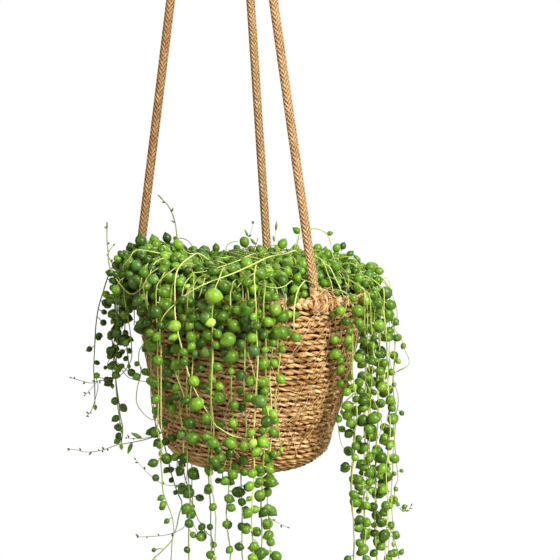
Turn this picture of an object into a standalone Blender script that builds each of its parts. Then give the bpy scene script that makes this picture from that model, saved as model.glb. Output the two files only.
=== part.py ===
"""A potted string of pearls in a woven hanging basket, carried by three braided ropes.

The origin is the point where the hanging loop rests on its hook. Z is up, -Y is the
front and +X the right-hand side. All sizes are in metres.
"""
import math
import random

import bmesh
import bpy
from mathutils import Matrix, Vector

SEED = 11
GAP = 0.0003                  # clearance between pieces that touch

# Where the basket hangs under its loop
RIM_DROP = 0.615              # hook to the top of the rim
BASKET_SIDE_SHIFT = 0.023     # the basket's axis lies this far right of the hook
BASKET_TILT = math.radians(2.0)

# The basket
RIM_RADIUS = 0.0935           # outer radius at the top of the wall
WALL_LEAN = 0.187             # how fast the wall draws in on its way down
WALL_CURVE = 0.27             # and how that draw grows with depth
CORNER_DEPTH = 0.117          # where the wall starts to turn under
CORNER_CENTRE = 0.030         # radius at which the turned corner meets the flat bottom
BASKET_DEPTH = 0.1445
WALL = 0.0055
RIM_BEAD = 0.0045             # radius of the plaited edge
RIM_BEAD_SPAN = (210.0, -30.0)              # degrees of the edge that stand clear of the wall
WALL_TOP_DEPTH = 0.012        # where the wall's plain part starts, under the edge
FLOOR_RADIUS = 0.050
FLOOR_SLACK = 0.0005          # how much thinner the woven floor is than the wall

# The nursery pot and its soil
POT_TOP_DEPTH = 0.009
POT_LIP_RADIUS = 0.0790
POT_TOP_RADIUS = 0.0765
POT_BASE_RADIUS = 0.0485
POT_WALL = 0.0015
POT_LIP_HEIGHT = 0.007
SOIL_DEPTH = 0.016
HOLE_OVERSHOOT = 0.002        # how far the cutters of the root holes stand over the soil

# The hanger
ROPE_RADIUS = 0.00375
ROPE_FEET = {"left": 184.0, "back": 81.0, "right": -56.0}     # degrees round the rim
ROPE_FOOT_LIFT = 0.001        # the cut end stands this far over the rim's top
ROPE_SPACING = 0.0002         # half the air between two cords in the binding
SHOULDER_SHARE = 0.985        # where a rope starts to bend in to the binding
BEND_BELOW = 0.004            # and how far under the binding it is straight again
END_OVER = 0.002              # how far the ropes stand out of the binding's top
LOOP_WIDTH = 0.030            # clear width inside the hanging loop
LOOP_SHOULDER = 0.003         # the loop's legs stay together this far over the binding
LOOP_SPREAD = (0.35, 0.7)     # places between shoulder and bend where the legs part
BINDING_TOP = -0.062
BINDING_LENGTH = 0.038
BINDING_TURNS = 4
BINDING_GROOVE = 0.0016       # thickness of the twine between two ridges
BINDING_RIDGE = 0.0028        # and on a ridge
LASHING_SIZE = (0.0075, 0.0115, 0.0085)     # half sizes: across the rim, along it, up
LASHING_TURN = 3.0            # degrees from the rope to the middle of its lashing
LASHING_LIFT = 0.0005
LASHING_CUT_DEPTH = 0.030     # how far down the wall its groove runs

# The plant
STEM_RADIUS = 0.0010
PEARL_RADIUS = 0.0047
PEARL_STALK = 0.0016          # from the stem to the pearl
PEARL_SPACING = 0.037          # on average: closer near the rim, wider near the tip
ROOT_DEPTH = 0.007
NECK_HEIGHT = 0.003           # a stem leaves the soil straight, this far
ARCH_ANGLES = (152.0, 116.0, 80.0, 44.0, 8.0)         # points of the arch over the rim
SWAY_STEP = 0.075             # a hanging stem has a point this often
SWAY_SIZE = (0.0010, 0.0022)
SWAY_WAVES = 1.1              # sideways waves between rim and tip
TIP_LENGTH = 0.0015           # bare end of a stem, past its last pearl
CROWDING = 1.3                # how much closer the pearls stand near the rim
GOLDEN_TURN = 2.4             # each pearl grows this far round the stem from the last
CLEARANCE = 0.0005            # least air between neighbouring strands
CROWN_RADIUS = 0.056
CROWN_HEIGHT = 0.024          # above the rim
CROWN = "plant_crown"
CROWN_PEARLS = 56
CROWN_TURN = 2.39996          # golden angle, so that the pearls cover it evenly
CROWN_SUNK = 0.0012           # how far a stalk is sunk in the crown's core

# Each layer of strands: root radius, height over the rim, radius at which it hangs
LAYERS = {
    "low": (0.0680, 0.0060, 0.1025),
    "mid": (0.0640, 0.0150, 0.1145),
    "high": (0.0600, 0.0240, 0.1265),
}

# Trailing strands: degrees round the rim, layer, and how far the tip hangs below it
STRANDS = {
    "left": [
        (176, "high", 0.098), (168, "mid", 0.082), (197, "low", 0.142),
        (160, "low", 0.070), (206, "mid", 0.104),
    ],
    "front": [
        (-150, "low", 0.095), (-137, "mid", 0.118), (-129, "low", 0.232),
        (-123, "high", 0.238), (-119, "low", 0.140), (-113, "mid", 0.242),
        (-107, "low", 0.224), (-102, "high", 0.190), (-97, "mid", 0.246),
        (-92, "low", 0.222), (-88, "high", 0.250), (-83, "mid", 0.238),
        (-79, "low", 0.214), (-74, "low", 0.112),
    ],
    "right": [
        (-42, "low", 0.236), (-37, "mid", 0.150), (-31, "low", 0.246),
        (-23, "mid", 0.232), (-14, "low", 0.252), (-5, "mid", 0.206),
        (4, "low", 0.244), (13, "mid", 0.240), (23, "low", 0.215), (33, "mid", 0.186),
    ],
    "back": [
        (43, "low", 0.112), (55, "mid", 0.092), (67, "low", 0.104), (94, "mid", 0.140),
        (106, "low", 0.180), (118, "mid", 0.200), (130, "low", 0.165), (145, "mid", 0.120),
    ],
}

BASKET_FRAME = (
    Matrix.Translation((BASKET_SIDE_SHIFT, 0.0, -RIM_DROP))
    @ Matrix.Rotation(BASKET_TILT, 4, "Y")
)


# Scene and materials

for old in list(bpy.data.objects):
    bpy.data.objects.remove(old, do_unlink=True)

MODEL = bpy.data.collections.new("hanging_string_of_pearls")
bpy.context.scene.collection.children.link(MODEL)
CUTTERS = bpy.data.collections.new("cutters")
bpy.context.scene.collection.children.link(CUTTERS)


def new_material(name, colour, roughness, metallic=0.0):
    """A Principled material with one colour."""
    material = bpy.data.materials.new(name)
    material.use_nodes = True
    shader = material.node_tree.nodes["Principled BSDF"]
    shader.inputs["Base Color"].default_value = (*colour, 1.0)
    shader.inputs["Roughness"].default_value = roughness
    shader.inputs["Metallic"].default_value = metallic
    return material


SEAGRASS = new_material("seagrass", (0.52, 0.33, 0.15), 0.8)
JUTE = new_material("jute", (0.56, 0.36, 0.18), 0.85)
POT_PLASTIC = new_material("pot_plastic", (0.035, 0.035, 0.035), 0.5)
POTTING_SOIL = new_material("potting_soil", (0.05, 0.032, 0.02), 0.95)
LEAF_GREEN = new_material("leaf_green", (0.13, 0.30, 0.05), 0.35)


def add_mesh(name, mesh, material, collection=MODEL, frame=None):
    """Put a mesh in the scene as one named object."""
    mesh.name = name
    mesh.materials.clear()
    mesh.materials.append(material)
    item = bpy.data.objects.new(name, mesh)
    collection.objects.link(item)
    if frame is not None:
        item.matrix_world = frame
    return item


def from_bmesh(name, shape, material, collection=MODEL, frame=None):
    """Turn a finished bmesh into a named object."""
    mesh = bpy.data.meshes.new(name)
    shape.to_mesh(mesh)
    shape.free()
    return add_mesh(name, mesh, material, collection, frame)


def turned(name, profile, steps, material, collection=MODEL, frame=None):
    """Spin an outline of (radius, height) points round Z, with a Screw modifier."""
    mesh = bpy.data.meshes.new(name)
    edges = [(i, i + 1) for i in range(len(profile) - 1)]
    if profile[0][0] > 0.0:
        edges.append((len(profile) - 1, 0))
    mesh.from_pydata([(radius, 0.0, height) for radius, height in profile], edges, [])
    item = add_mesh(name, mesh, material, collection, frame)
    screw = item.modifiers.new("turn", "SCREW")
    screw.steps = steps
    screw.render_steps = steps
    screw.use_merge_vertices = True
    screw.merge_threshold = 0.00001
    screw.use_smooth_shade = True
    return item


def tube(name, points, radius, sides, material, collection=MODEL):
    """A round cord along a list of points, made a closed mesh."""
    curve = bpy.data.curves.new(name, "CURVE")
    curve.dimensions = "3D"
    curve.bevel_depth = radius
    curve.bevel_resolution = sides
    curve.use_fill_caps = True
    curve.resolution_u = 1
    spline = curve.splines.new("POLY")
    spline.points.add(len(points) - 1)
    for slot, point in zip(spline.points, points):
        slot.co = (*point, 1.0)
    guide = bpy.data.objects.new(name + "_guide", curve)
    CUTTERS.objects.link(guide)
    bpy.context.view_layer.update()
    seen = guide.evaluated_get(bpy.context.evaluated_depsgraph_get())
    mesh = bpy.data.meshes.new_from_object(seen)
    weld(mesh)
    bpy.data.objects.remove(guide, do_unlink=True)
    item = add_mesh(name, mesh, material, collection)
    mesh.shade_smooth()
    mesh.set_sharp_from_angle(angle=math.radians(50))
    return item


def weld(mesh):
    """Join a tube's loose caps to its wall."""
    shape = bmesh.new()
    shape.from_mesh(mesh)
    bmesh.ops.remove_doubles(shape, verts=shape.verts, dist=0.00001)
    bmesh.ops.recalc_face_normals(shape, faces=shape.faces)
    shape.to_mesh(mesh)
    shape.free()


def combine(item, operation, helpers, solver="EXACT"):
    """One Boolean with a whole collection, applied, and the helpers removed."""
    boolean = item.modifiers.new(operation.lower(), "BOOLEAN")
    boolean.operation = operation
    boolean.operand_type = "COLLECTION"
    boolean.collection = helpers
    boolean.solver = solver
    bpy.context.view_layer.update()
    seen = item.evaluated_get(bpy.context.evaluated_depsgraph_get())
    result = bpy.data.meshes.new_from_object(seen)
    item.modifiers.clear()
    item.data = result
    for helper in list(helpers.objects):
        bpy.data.objects.remove(helper, do_unlink=True)
    bpy.data.collections.remove(helpers)


def helper_collection(name):
    """A collection of its own for what is cut from, or joined to, one piece."""
    group = bpy.data.collections.new(name)
    CUTTERS.children.link(group)
    return group


# Places round the basket

def wall_radius(depth):
    """Outer radius of the basket's wall at a depth below the rim."""
    return RIM_RADIUS - WALL_LEAN * depth - WALL_CURVE * depth * depth


def round_rim(radius, degrees, height):
    """A point given by its radius, its bearing and its height over the rim."""
    angle = math.radians(degrees)
    local = Vector((radius * math.cos(angle), radius * math.sin(angle), height))
    return BASKET_FRAME @ local


RIM_CENTRE_RADIUS = RIM_RADIUS - WALL / 2
RIM_CENTRE_HEIGHT = -RIM_BEAD


# The basket: wall, turned-under corner, flat bottom and plaited edge

def rim_bead(grow, first, last, count):
    """Points round the plaited edge, from one angle to another."""
    points = []
    for i in range(count):
        angle = math.radians(first + (last - first) * i / (count - 1))
        points.append((
            RIM_CENTRE_RADIUS + (RIM_BEAD + grow) * math.cos(angle),
            RIM_CENTRE_HEIGHT + (RIM_BEAD + grow) * math.sin(angle),
        ))
    return points


def make_basket():
    """One closed shell, open at the top, that leans in and turns under to a flat bottom."""
    inner_floor = -(BASKET_DEPTH - WALL - FLOOR_SLACK)
    inner = [(0.0, inner_floor), (FLOOR_RADIUS, inner_floor)]
    for depth in (CORNER_DEPTH + 0.005, 0.065, WALL_TOP_DEPTH):
        inner.append((wall_radius(depth) - WALL, -depth))
    outer = []
    for depth in (WALL_TOP_DEPTH, 0.050, 0.085):
        outer.append((wall_radius(depth), -depth))
    side = wall_radius(CORNER_DEPTH) - CORNER_CENTRE
    for i in range(5):
        angle = math.radians(90.0 * i / 4)
        outer.append((
            CORNER_CENTRE + side * math.cos(angle),
            -CORNER_DEPTH - (BASKET_DEPTH - CORNER_DEPTH) * math.sin(angle),
        ))
    profile = inner + rim_bead(0.0, *RIM_BEAD_SPAN, 7) + outer + [(0.0, -BASKET_DEPTH)]
    return turned("basket", profile, 32, SEAGRASS, frame=BASKET_FRAME)


# The nursery pot inside it, and the soil that the stems stand in

POT_FLOOR = -(BASKET_DEPTH - WALL - FLOOR_SLACK - GAP)
SOIL_HEIGHT = -SOIL_DEPTH


def pot_radius(height):
    """Outer radius of the pot's wall at a height."""
    share = (height - POT_FLOOR) / (-POT_TOP_DEPTH - POT_FLOOR)
    return POT_BASE_RADIUS + (POT_TOP_RADIUS - POT_BASE_RADIUS) * share


def make_pot():
    """A thin nursery pot with a turned-out lip, standing on the basket's floor."""
    top = -POT_TOP_DEPTH
    lip = top - POT_LIP_HEIGHT
    floor = POT_FLOOR + POT_WALL
    profile = [
        (0.0, floor),
        (pot_radius(floor) - POT_WALL, floor),
        (pot_radius(top) - POT_WALL, top),
        (POT_LIP_RADIUS, top),
        (POT_LIP_RADIUS, lip),
        (pot_radius(lip), lip),
        (POT_BASE_RADIUS, POT_FLOOR),
        (0.0, POT_FLOOR),
    ]
    return turned("grow_pot", profile, 24, POT_PLASTIC, frame=BASKET_FRAME)


def make_soil(roots):
    """The soil that fills the pot, with a plain hole for each stem's root."""
    bottom = POT_FLOOR + POT_WALL + GAP
    side = POT_WALL + GAP
    profile = [
        (0.0, SOIL_HEIGHT),
        (pot_radius(SOIL_HEIGHT) - side, SOIL_HEIGHT),
        (pot_radius(bottom) - side, bottom),
        (0.0, bottom),
    ]
    soil = turned("soil", profile, 24, POTTING_SOIL, frame=BASKET_FRAME)
    holes = helper_collection("root_holes")
    up = BASKET_FRAME.to_3x3() @ Vector((0.0, 0.0, 1.0))
    for number, (low, high) in enumerate(roots):
        start = low - up * GAP
        end = high + up * HOLE_OVERSHOOT
        tube("hole_%02d" % number, [start, end], STEM_RADIUS + GAP, 0, POTTING_SOIL, holes)
    combine(soil, "DIFFERENCE", holes)
    return soil


# The hanger: three ropes, the loop that takes the hook, and what binds them

BUNDLE_RADIUS = (ROPE_RADIUS + ROPE_SPACING) / math.sin(math.radians(36.0))
BUNDLE_PLACES = {"left": 126.0, "back": 54.0, "right": 270.0}
LOOP_PLACES = (198.0, 342.0)
BINDING_BOTTOM = BINDING_TOP - BINDING_LENGTH


def in_bundle(degrees, height):
    """A place among the five cords that the binding holds."""
    angle = math.radians(degrees)
    return Vector((BUNDLE_RADIUS * math.cos(angle), BUNDLE_RADIUS * math.sin(angle), height))


def rope_foot(name):
    """Where a rope ends, just over the rim."""
    return round_rim(RIM_CENTRE_RADIUS, ROPE_FEET[name], ROPE_FOOT_LIFT)


def rope_route(name):
    """Straight and taut from the rim to the binding, and up through it."""
    foot = rope_foot(name)
    bend = in_bundle(BUNDLE_PLACES[name], BINDING_BOTTOM - BEND_BELOW)
    end = in_bundle(BUNDLE_PLACES[name], BINDING_TOP + END_OVER)
    middle = foot.lerp(bend, 0.5)
    shoulder = foot.lerp(bend, SHOULDER_SHARE)
    return [foot, middle, shoulder, bend + Vector((0.0, 0.0, 0.001)), end]


def loop_route():
    """Up from the binding, round the hook and down again, in one upright plane."""
    legs = [in_bundle(place, BINDING_BOTTOM + 0.001) for place in LOOP_PLACES]
    middle = (legs[0] + legs[1]) / 2
    middle.z = 0.0
    across = (legs[1] - legs[0]).normalized()
    half_leg = (legs[1] - legs[0]).length / 2
    swing = LOOP_WIDTH / 2 + ROPE_RADIUS
    centre_height = ROPE_RADIUS - swing
    start_height = BINDING_TOP + LOOP_SHOULDER
    side = [(half_leg, BINDING_BOTTOM + 0.001), (half_leg, start_height)]
    for share in LOOP_SPREAD:
        ease = share * share * (3 - 2 * share)
        height = start_height + (centre_height - start_height) * share
        side.append((half_leg + (swing - half_leg) * ease, height))
    for i in range(4):
        angle = math.radians(90.0 * i / 4)
        side.append((swing * math.cos(angle), centre_height + swing * math.sin(angle)))
    outline = side + [(0.0, centre_height + swing)] + [(-u, z) for u, z in reversed(side)]
    points = []
    for u, height in outline:
        share = (height - start_height) / (centre_height - start_height)
        share = min(max(share, 0.0), 1.0)
        points.append(middle * (1 - share) + across * u + Vector((0.0, 0.0, height)))
    return points


def make_binding():
    """The twine whipping: a collar whose turns stand out as low ridges."""
    inside = BUNDLE_RADIUS + ROPE_RADIUS + GAP
    profile = [(inside, BINDING_BOTTOM), (inside, BINDING_TOP)]
    for i in range(BINDING_TURNS):
        top = BINDING_TOP - BINDING_LENGTH * i / BINDING_TURNS
        low = BINDING_TOP - BINDING_LENGTH * (i + 1) / BINDING_TURNS
        profile.append((inside + BINDING_GROOVE, top))
        profile.append((inside + BINDING_RIDGE, (top + low) / 2))
    profile.append((inside + BINDING_GROOVE, BINDING_BOTTOM))
    return turned("top_binding", profile, 16, JUTE)


def make_lashing(name):
    """The wrapping that binds a rope's foot to the rim: it sits astride the edge."""
    shape = bmesh.new()
    bmesh.ops.create_uvsphere(shape, u_segments=10, v_segments=6, radius=1.0)
    bmesh.ops.scale(shape, vec=Vector(LASHING_SIZE), verts=shape.verts)
    turn = Matrix.Rotation(math.radians(ROPE_FEET[name] + LASHING_TURN), 4, "Z")
    place = turn @ Matrix.Translation((RIM_CENTRE_RADIUS, 0.0, LASHING_LIFT))
    bmesh.ops.transform(shape, matrix=BASKET_FRAME @ place, verts=shape.verts)
    lashing = from_bmesh("lashing_" + name, shape, SEAGRASS)
    cutters = helper_collection("lashing_cutters_" + name)
    low = wall_radius(LASHING_CUT_DEPTH)
    ring = rim_bead(GAP, *RIM_BEAD_SPAN, 7)
    ring += [(low + GAP, -LASHING_CUT_DEPTH), (low - WALL - GAP, -LASHING_CUT_DEPTH)]
    turned("rim_" + name, ring, 32, SEAGRASS, cutters, BASKET_FRAME)
    route = rope_route(name)
    socket = [route[0] - Vector((0.0, 0.0, ROPE_FOOT_LIFT)), route[1]]
    tube("socket_" + name, socket, ROPE_RADIUS + GAP, 2, JUTE, cutters)
    combine(lashing, "DIFFERENCE", cutters)


# The plant: where its stems run

def strand_route(degrees, layer, drop, rng):
    """A stem from its root, over the rim and straight down to its tip."""
    root, crest, reach = LAYERS[layer]
    route = [
        round_rim(root, degrees, SOIL_HEIGHT - ROOT_DEPTH),
        round_rim(root, degrees, SOIL_HEIGHT + NECK_HEIGHT),
    ]
    rise = crest - RIM_CENTRE_HEIGHT
    for turn in ARCH_ANGLES:
        angle = math.radians(turn)
        side = RIM_CENTRE_RADIUS - root if turn > 90.0 else reach - RIM_CENTRE_RADIUS
        radius = RIM_CENTRE_RADIUS + side * math.cos(angle)
        route.append(round_rim(radius, degrees, RIM_CENTRE_HEIGHT + rise * math.sin(angle)))
    start = route[-1]
    tip_height = -RIM_DROP - drop
    steps = max(2, round((start.z - tip_height) / SWAY_STEP))
    phase = rng.uniform(0.0, math.tau)
    sway = rng.uniform(*SWAY_SIZE)
    for i in range(1, steps + 1):
        share = i / steps
        swing = sway * math.sin(share * SWAY_WAVES * math.tau + phase) - sway * math.sin(phase)
        turn = math.radians(degrees) + math.pi / 2 + phase
        height = start.z + (tip_height - start.z) * share
        route.append(Vector((
            start.x + swing * math.cos(turn),
            start.y + swing * math.sin(turn),
            height,
        )))
    return route


def point_along(route, distance):
    """The point and the direction at a distance along a route."""
    for first, last in zip(route, route[1:]):
        length = (last - first).length
        if distance <= length:
            break
        distance -= length
    direction = (last - first).normalized()
    return first + direction * distance, direction


def route_length(route):
    """How long a route is, from its first point to its last."""
    return sum((b - a).length for a, b in zip(route, route[1:]))


# Keeping the pearls of one strand clear of everything that isn't their own

def segment_distance(point, first, last):
    """How far a point lies from a straight stretch."""
    run = last - first
    share = max(0.0, min(1.0, (point - first).dot(run) / run.length_squared))
    return (point - (first + run * share)).length


def basket_distance(point):
    """Air between a point and the basket's outer side or rim."""
    local = BASKET_FRAME.inverted() @ point
    radius = math.hypot(local.x, local.y)
    to_bead = math.hypot(radius - RIM_CENTRE_RADIUS, local.z - RIM_CENTRE_HEIGHT) - RIM_BEAD
    depth = -local.z
    if depth <= 0.0 or depth > BASKET_DEPTH + 0.010:
        return to_bead
    return min(to_bead, (radius - wall_radius(depth)) * 0.97)


def in_crown(point, need):
    """Whether a point is within a distance of the crown's core."""
    local = BASKET_FRAME.inverted() @ point
    out = math.hypot(local.x, local.y) / (CROWN_RADIUS + need)
    up = max(local.z, 0.0) / (CROWN_HEIGHT + need)
    return math.hypot(out, up) < 1.0


class Space:
    """What is already there: the stems, the hanger's lower ends and the pearls."""

    def __init__(self):
        self.stems = []
        self.ropes = [rope_route(name)[:2] for name in ROPE_FEET]
        self.lumps = [
            (round_rim(RIM_CENTRE_RADIUS, bearing + LASHING_TURN, LASHING_LIFT), max(LASHING_SIZE))
            for bearing in ROPE_FEET.values()
        ]
        self.pearls = []

    def is_free(self, centre, radius, owner):
        """Whether a pearl of one strand, or of the crown, has room at a place."""
        need = radius * 1.08 + CLEARANCE
        if basket_distance(centre) < need:
            return False
        if owner != CROWN and in_crown(centre, need):
            return False
        for first, last in self.ropes:
            if segment_distance(centre, first, last) < need + ROPE_RADIUS:
                return False
        for place, size in self.lumps + self.pearls:
            if (centre - place).length < need + size:
                return False
        for name, route in self.stems:
            own = radius + PEARL_STALK * 0.5 if name == owner else need + STEM_RADIUS
            for first, last in zip(route, route[1:]):
                if segment_distance(centre, first, last) < own:
                    return False
        return True


# The pearls themselves

def add_pearl(group, root, direction, radius, number):
    """A round leaf of twenty faces, on a stalk sunk in its stem, with a small point."""
    shape = bmesh.new()
    bmesh.ops.create_icosphere(shape, subdivisions=1, radius=radius)
    base = min(shape.verts, key=lambda vert: vert.co.z)
    tip = max(shape.verts, key=lambda vert: vert.co.z)
    base.co.z = -(radius + PEARL_STALK)
    tip.co.z = radius * 1.12
    centre = root + direction * (radius + PEARL_STALK)
    turn = Vector((0.0, 0.0, 1.0)).rotation_difference(direction).to_matrix().to_4x4()
    bmesh.ops.transform(shape, matrix=Matrix.Translation(centre) @ turn, verts=shape.verts)
    from_bmesh("pearl_%03d" % number, shape, LEAF_GREEN, group)


def pearl_direction(along, turn):
    """Square to the stem, and hanging a little."""
    aside = along.orthogonal().normalized()
    aside.rotate(Matrix.Rotation(turn, 3, along))
    return (aside + Vector((0.0, 0.0, -0.25))).normalized()


def make_strand(name, route, space, rng):
    """A stem with its pearls, from the rim down to the tip."""
    stem = tube(name, route, STEM_RADIUS, 0, LEAF_GREEN)
    group = helper_collection(name + "_pearls")
    total = route_length(route)
    first = route_length(route[:3])
    count = round((total - first) / PEARL_SPACING) + 1
    last = total - TIP_LENGTH
    turn = rng.uniform(0.0, math.tau)
    for i in range(count):
        share = i / (count - 1)
        radius = PEARL_RADIUS * (1.08 - 0.38 * share ** 2) * rng.uniform(0.92, 1.08)
        base = first + (last - first) * share ** CROWDING
        for attempt in range(30):
            shift = 0.0 if i == count - 1 else rng.uniform(-0.3, 0.3) * PEARL_SPACING
            root, along = point_along(route, min(max(base + shift, first), last))
            direction = pearl_direction(along, turn + attempt * GOLDEN_TURN)
            centre = root + direction * (radius + PEARL_STALK)
            if space.is_free(centre, radius, name):
                add_pearl(group, root, direction, radius, i)
                space.pearls.append((centre, radius))
                break
        turn += GOLDEN_TURN
    combine(stem, "UNION", group)


def crown_surface(down, around):
    """A point of the crown's core, by an angle down from its top and one round it."""
    radius = CROWN_RADIUS * math.sin(down)
    return Vector((
        radius * math.cos(around), radius * math.sin(around), CROWN_HEIGHT * math.cos(down),
    ))


def make_crown(space, rng):
    """The mound over the soil: a low core that the pearls stand out of on all sides."""
    profile = [(0.0, CROWN_HEIGHT)]
    for i in range(1, 5):
        place = crown_surface(math.radians(90.0 * i / 4), 0.0)
        profile.append((place.x, place.z))
    base = SOIL_HEIGHT + GAP
    profile += [(CROWN_RADIUS - 0.004, base), (0.0, base)]
    crown = turned(CROWN, profile, 16, LEAF_GREEN, frame=BASKET_FRAME)
    group = helper_collection("crown_pearls")
    tilt = BASKET_FRAME.to_3x3()
    for i in range(CROWN_PEARLS):
        share = (i + 0.5) / CROWN_PEARLS
        down = math.acos(1.0 - share)
        place = crown_surface(down, i * CROWN_TURN)
        outward = Vector((
            place.x / CROWN_RADIUS ** 2, place.y / CROWN_RADIUS ** 2, place.z / CROWN_HEIGHT ** 2,
        )).normalized()
        radius = PEARL_RADIUS * rng.uniform(0.98, 1.2)
        direction = tilt @ outward
        root = BASKET_FRAME @ (place - outward * (PEARL_STALK + CROWN_SUNK))
        centre = root + direction * (radius + PEARL_STALK)
        if space.is_free(centre, radius, CROWN):
            add_pearl(group, root, direction, radius, i)
            space.pearls.append((centre, radius))
    combine(crown, "UNION", group)


# Putting it together

make_basket()
make_pot()
for rope in ROPE_FEET:
    tube("rope_" + rope, rope_route(rope), ROPE_RADIUS, 2, JUTE)
    make_lashing(rope)
tube("hang_loop", loop_route(), ROPE_RADIUS, 2, JUTE)
make_binding()

draw = random.Random(SEED)
living = Space()
for side_name, rows in STRANDS.items():
    for row_number, (bearing, layer_name, drop_length) in enumerate(rows, 1):
        strand_name = "strand_%s_%02d" % (side_name, row_number)
        living.stems.append((strand_name, strand_route(bearing, layer_name, drop_length, draw)))

make_soil([(route[0], route[1]) for _, route in living.stems])
make_crown(living, draw)
for strand_name, strand_points in living.stems:
    make_strand(strand_name, strand_points, living, draw)
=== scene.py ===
import math
import random

import bpy
import numpy as np
from mathutils import Matrix, Vector
from mathutils.kdtree import KDTree


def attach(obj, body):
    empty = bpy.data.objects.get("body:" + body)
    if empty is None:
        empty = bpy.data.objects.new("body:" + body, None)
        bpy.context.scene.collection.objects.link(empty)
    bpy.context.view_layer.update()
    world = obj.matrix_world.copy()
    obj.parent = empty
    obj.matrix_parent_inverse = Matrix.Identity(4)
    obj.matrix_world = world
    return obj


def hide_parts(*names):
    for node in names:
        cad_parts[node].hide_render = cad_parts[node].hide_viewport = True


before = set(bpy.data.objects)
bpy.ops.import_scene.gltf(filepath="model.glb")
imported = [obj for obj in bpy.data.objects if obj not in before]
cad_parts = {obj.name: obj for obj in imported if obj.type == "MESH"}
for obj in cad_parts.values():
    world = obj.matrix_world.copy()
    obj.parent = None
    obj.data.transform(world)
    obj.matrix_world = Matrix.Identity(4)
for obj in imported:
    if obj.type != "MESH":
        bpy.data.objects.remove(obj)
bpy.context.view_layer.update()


# The view
# The plant hangs before a white sweep and is seen from a little above its rim through a
# long lens. One big soft light stands to the right of the camera, with white all round.

aim = Vector((0.0458, 0.0, -0.6106))
stand_off = 1.5
look_down = math.radians(6.2)
eye = aim + stand_off * Vector((0.0, -math.cos(look_down), math.sin(look_down)))
focal = 1875.0                # in pixels of a picture 560 wide
half_frame = 280.0

lens = bpy.data.cameras.new("camera")
lens.sensor_width = 36.0
lens.lens = lens.sensor_width * focal / (2.0 * half_frame)
camera = bpy.data.objects.new("camera", lens)
camera.location = eye
camera.rotation_euler = (math.pi / 2 - look_down, 0.0, 0.0)
bpy.context.scene.collection.objects.link(camera)
bpy.context.scene.camera = camera
bpy.context.scene.view_settings.view_transform = "Standard"


def softbox(name, place, size, power, warmth):
    """A square soft light that faces the basket."""
    lamp = bpy.data.lights.new(name, "AREA")
    lamp.shape = "SQUARE"
    lamp.size = size
    lamp.energy = power
    lamp.color = warmth
    box = bpy.data.objects.new(name, lamp)
    box.location = place
    box.rotation_euler = (Vector(place) - aim).to_track_quat("Z", "Y").to_euler()
    bpy.context.scene.collection.objects.link(box)


softbox("key_light", (1.15, -1.45, 0.45), 0.9, 86.0, (1.0, 0.97, 0.92))
softbox("side_light", (-1.5, -0.9, 0.1), 1.0, 12.0, (1.0, 0.97, 0.93))
softbox("back_light", (0.4, 1.7, 0.5), 1.2, 12.0, (1.0, 1.0, 1.0))

surround = bpy.data.worlds.new("surround")
surround.use_nodes = True
bpy.context.scene.world = surround
nodes, links = surround.node_tree.nodes, surround.node_tree.links
nodes.clear()
rays = nodes.new("ShaderNodeLightPath")
seen_white = nodes.new("ShaderNodeBackground")
seen_white.inputs["Color"].default_value = (1.0, 1.0, 1.0, 1.0)
seen_white.inputs["Strength"].default_value = 1.0
lit_white = nodes.new("ShaderNodeBackground")
lit_white.inputs["Color"].default_value = (1.0, 0.94, 0.50, 1.0)
lit_white.inputs["Strength"].default_value = 0.19
either = nodes.new("ShaderNodeMixShader")
sky = nodes.new("ShaderNodeOutputWorld")
links.new(rays.outputs["Is Camera Ray"], either.inputs["Fac"])
links.new(seen_white.outputs["Background"], either.inputs[2])
gloss_grey = nodes.new("ShaderNodeBackground")
gloss_grey.inputs["Color"].default_value = (1.0, 0.94, 0.60, 1.0)
gloss_grey.inputs["Strength"].default_value = 0.08
softer = nodes.new("ShaderNodeMixShader")
links.new(rays.outputs["Is Glossy Ray"], softer.inputs["Fac"])
links.new(lit_white.outputs["Background"], softer.inputs[1])
links.new(gloss_grey.outputs["Background"], softer.inputs[2])
links.new(softer.outputs["Shader"], either.inputs[1])
links.new(either.outputs["Shader"], sky.inputs["Surface"])

floor_mesh = bpy.data.meshes.new("floor")
floor_mesh.from_pydata(
    [(-12.0, -12.0, -1.25), (12.0, -12.0, -1.25), (12.0, 12.0, -1.25), (-12.0, 12.0, -1.25)],
    [], [(0, 1, 2, 3)])
floor = bpy.data.objects.new("floor", floor_mesh)
bpy.context.scene.collection.objects.link(floor)
paper = bpy.data.materials.new("white_paper")
paper.use_nodes = True
nodes, links = paper.node_tree.nodes, paper.node_tree.links
matt = nodes["Principled BSDF"]
matt.inputs["Base Color"].default_value = (0.42, 0.40, 0.36, 1.0)
matt.inputs["Roughness"].default_value = 0.9
rays = nodes.new("ShaderNodeLightPath")
glow = nodes.new("ShaderNodeEmission")
either = nodes.new("ShaderNodeMixShader")
links.new(rays.outputs["Is Camera Ray"], either.inputs["Fac"])
links.new(matt.outputs["BSDF"], either.inputs[1])
links.new(glow.outputs["Emission"], either.inputs[2])
links.new(either.outputs["Shader"], nodes["Material Output"].inputs["Surface"])
floor_mesh.materials.append(paper)


# The basket
# Dried seagrass: rounds of two-ply cord laid one under another from the plaited edge
# down the wall and in to the middle of the base, on a thin inner wall of the same cord.

basket_frame = (
    Matrix.Translation((0.023, 0.0, -0.615)) @ Matrix.Rotation(math.radians(2.0), 4, "Y"))
rim_radius = 0.0935
basket_depth = 0.1445
corner_depth = 0.117
corner_centre = 0.030
wall = 0.0055
edge_radius = 0.0045
edge_centre = rim_radius - wall / 2
top_course, low_course = 0.0050, 0.0040      # from one round to the next, by the edge and by the base
course_step = 0.0019
outline_step = 0.0005


def in_basket(points):
    """Points of the upright basket, put where it hangs."""
    turn = np.array(basket_frame.to_3x3())
    return np.asarray(points) @ turn.T + np.array(basket_frame.translation)


def wall_radius(depth):
    return rim_radius - 0.187 * depth - 0.27 * depth * depth


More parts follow.
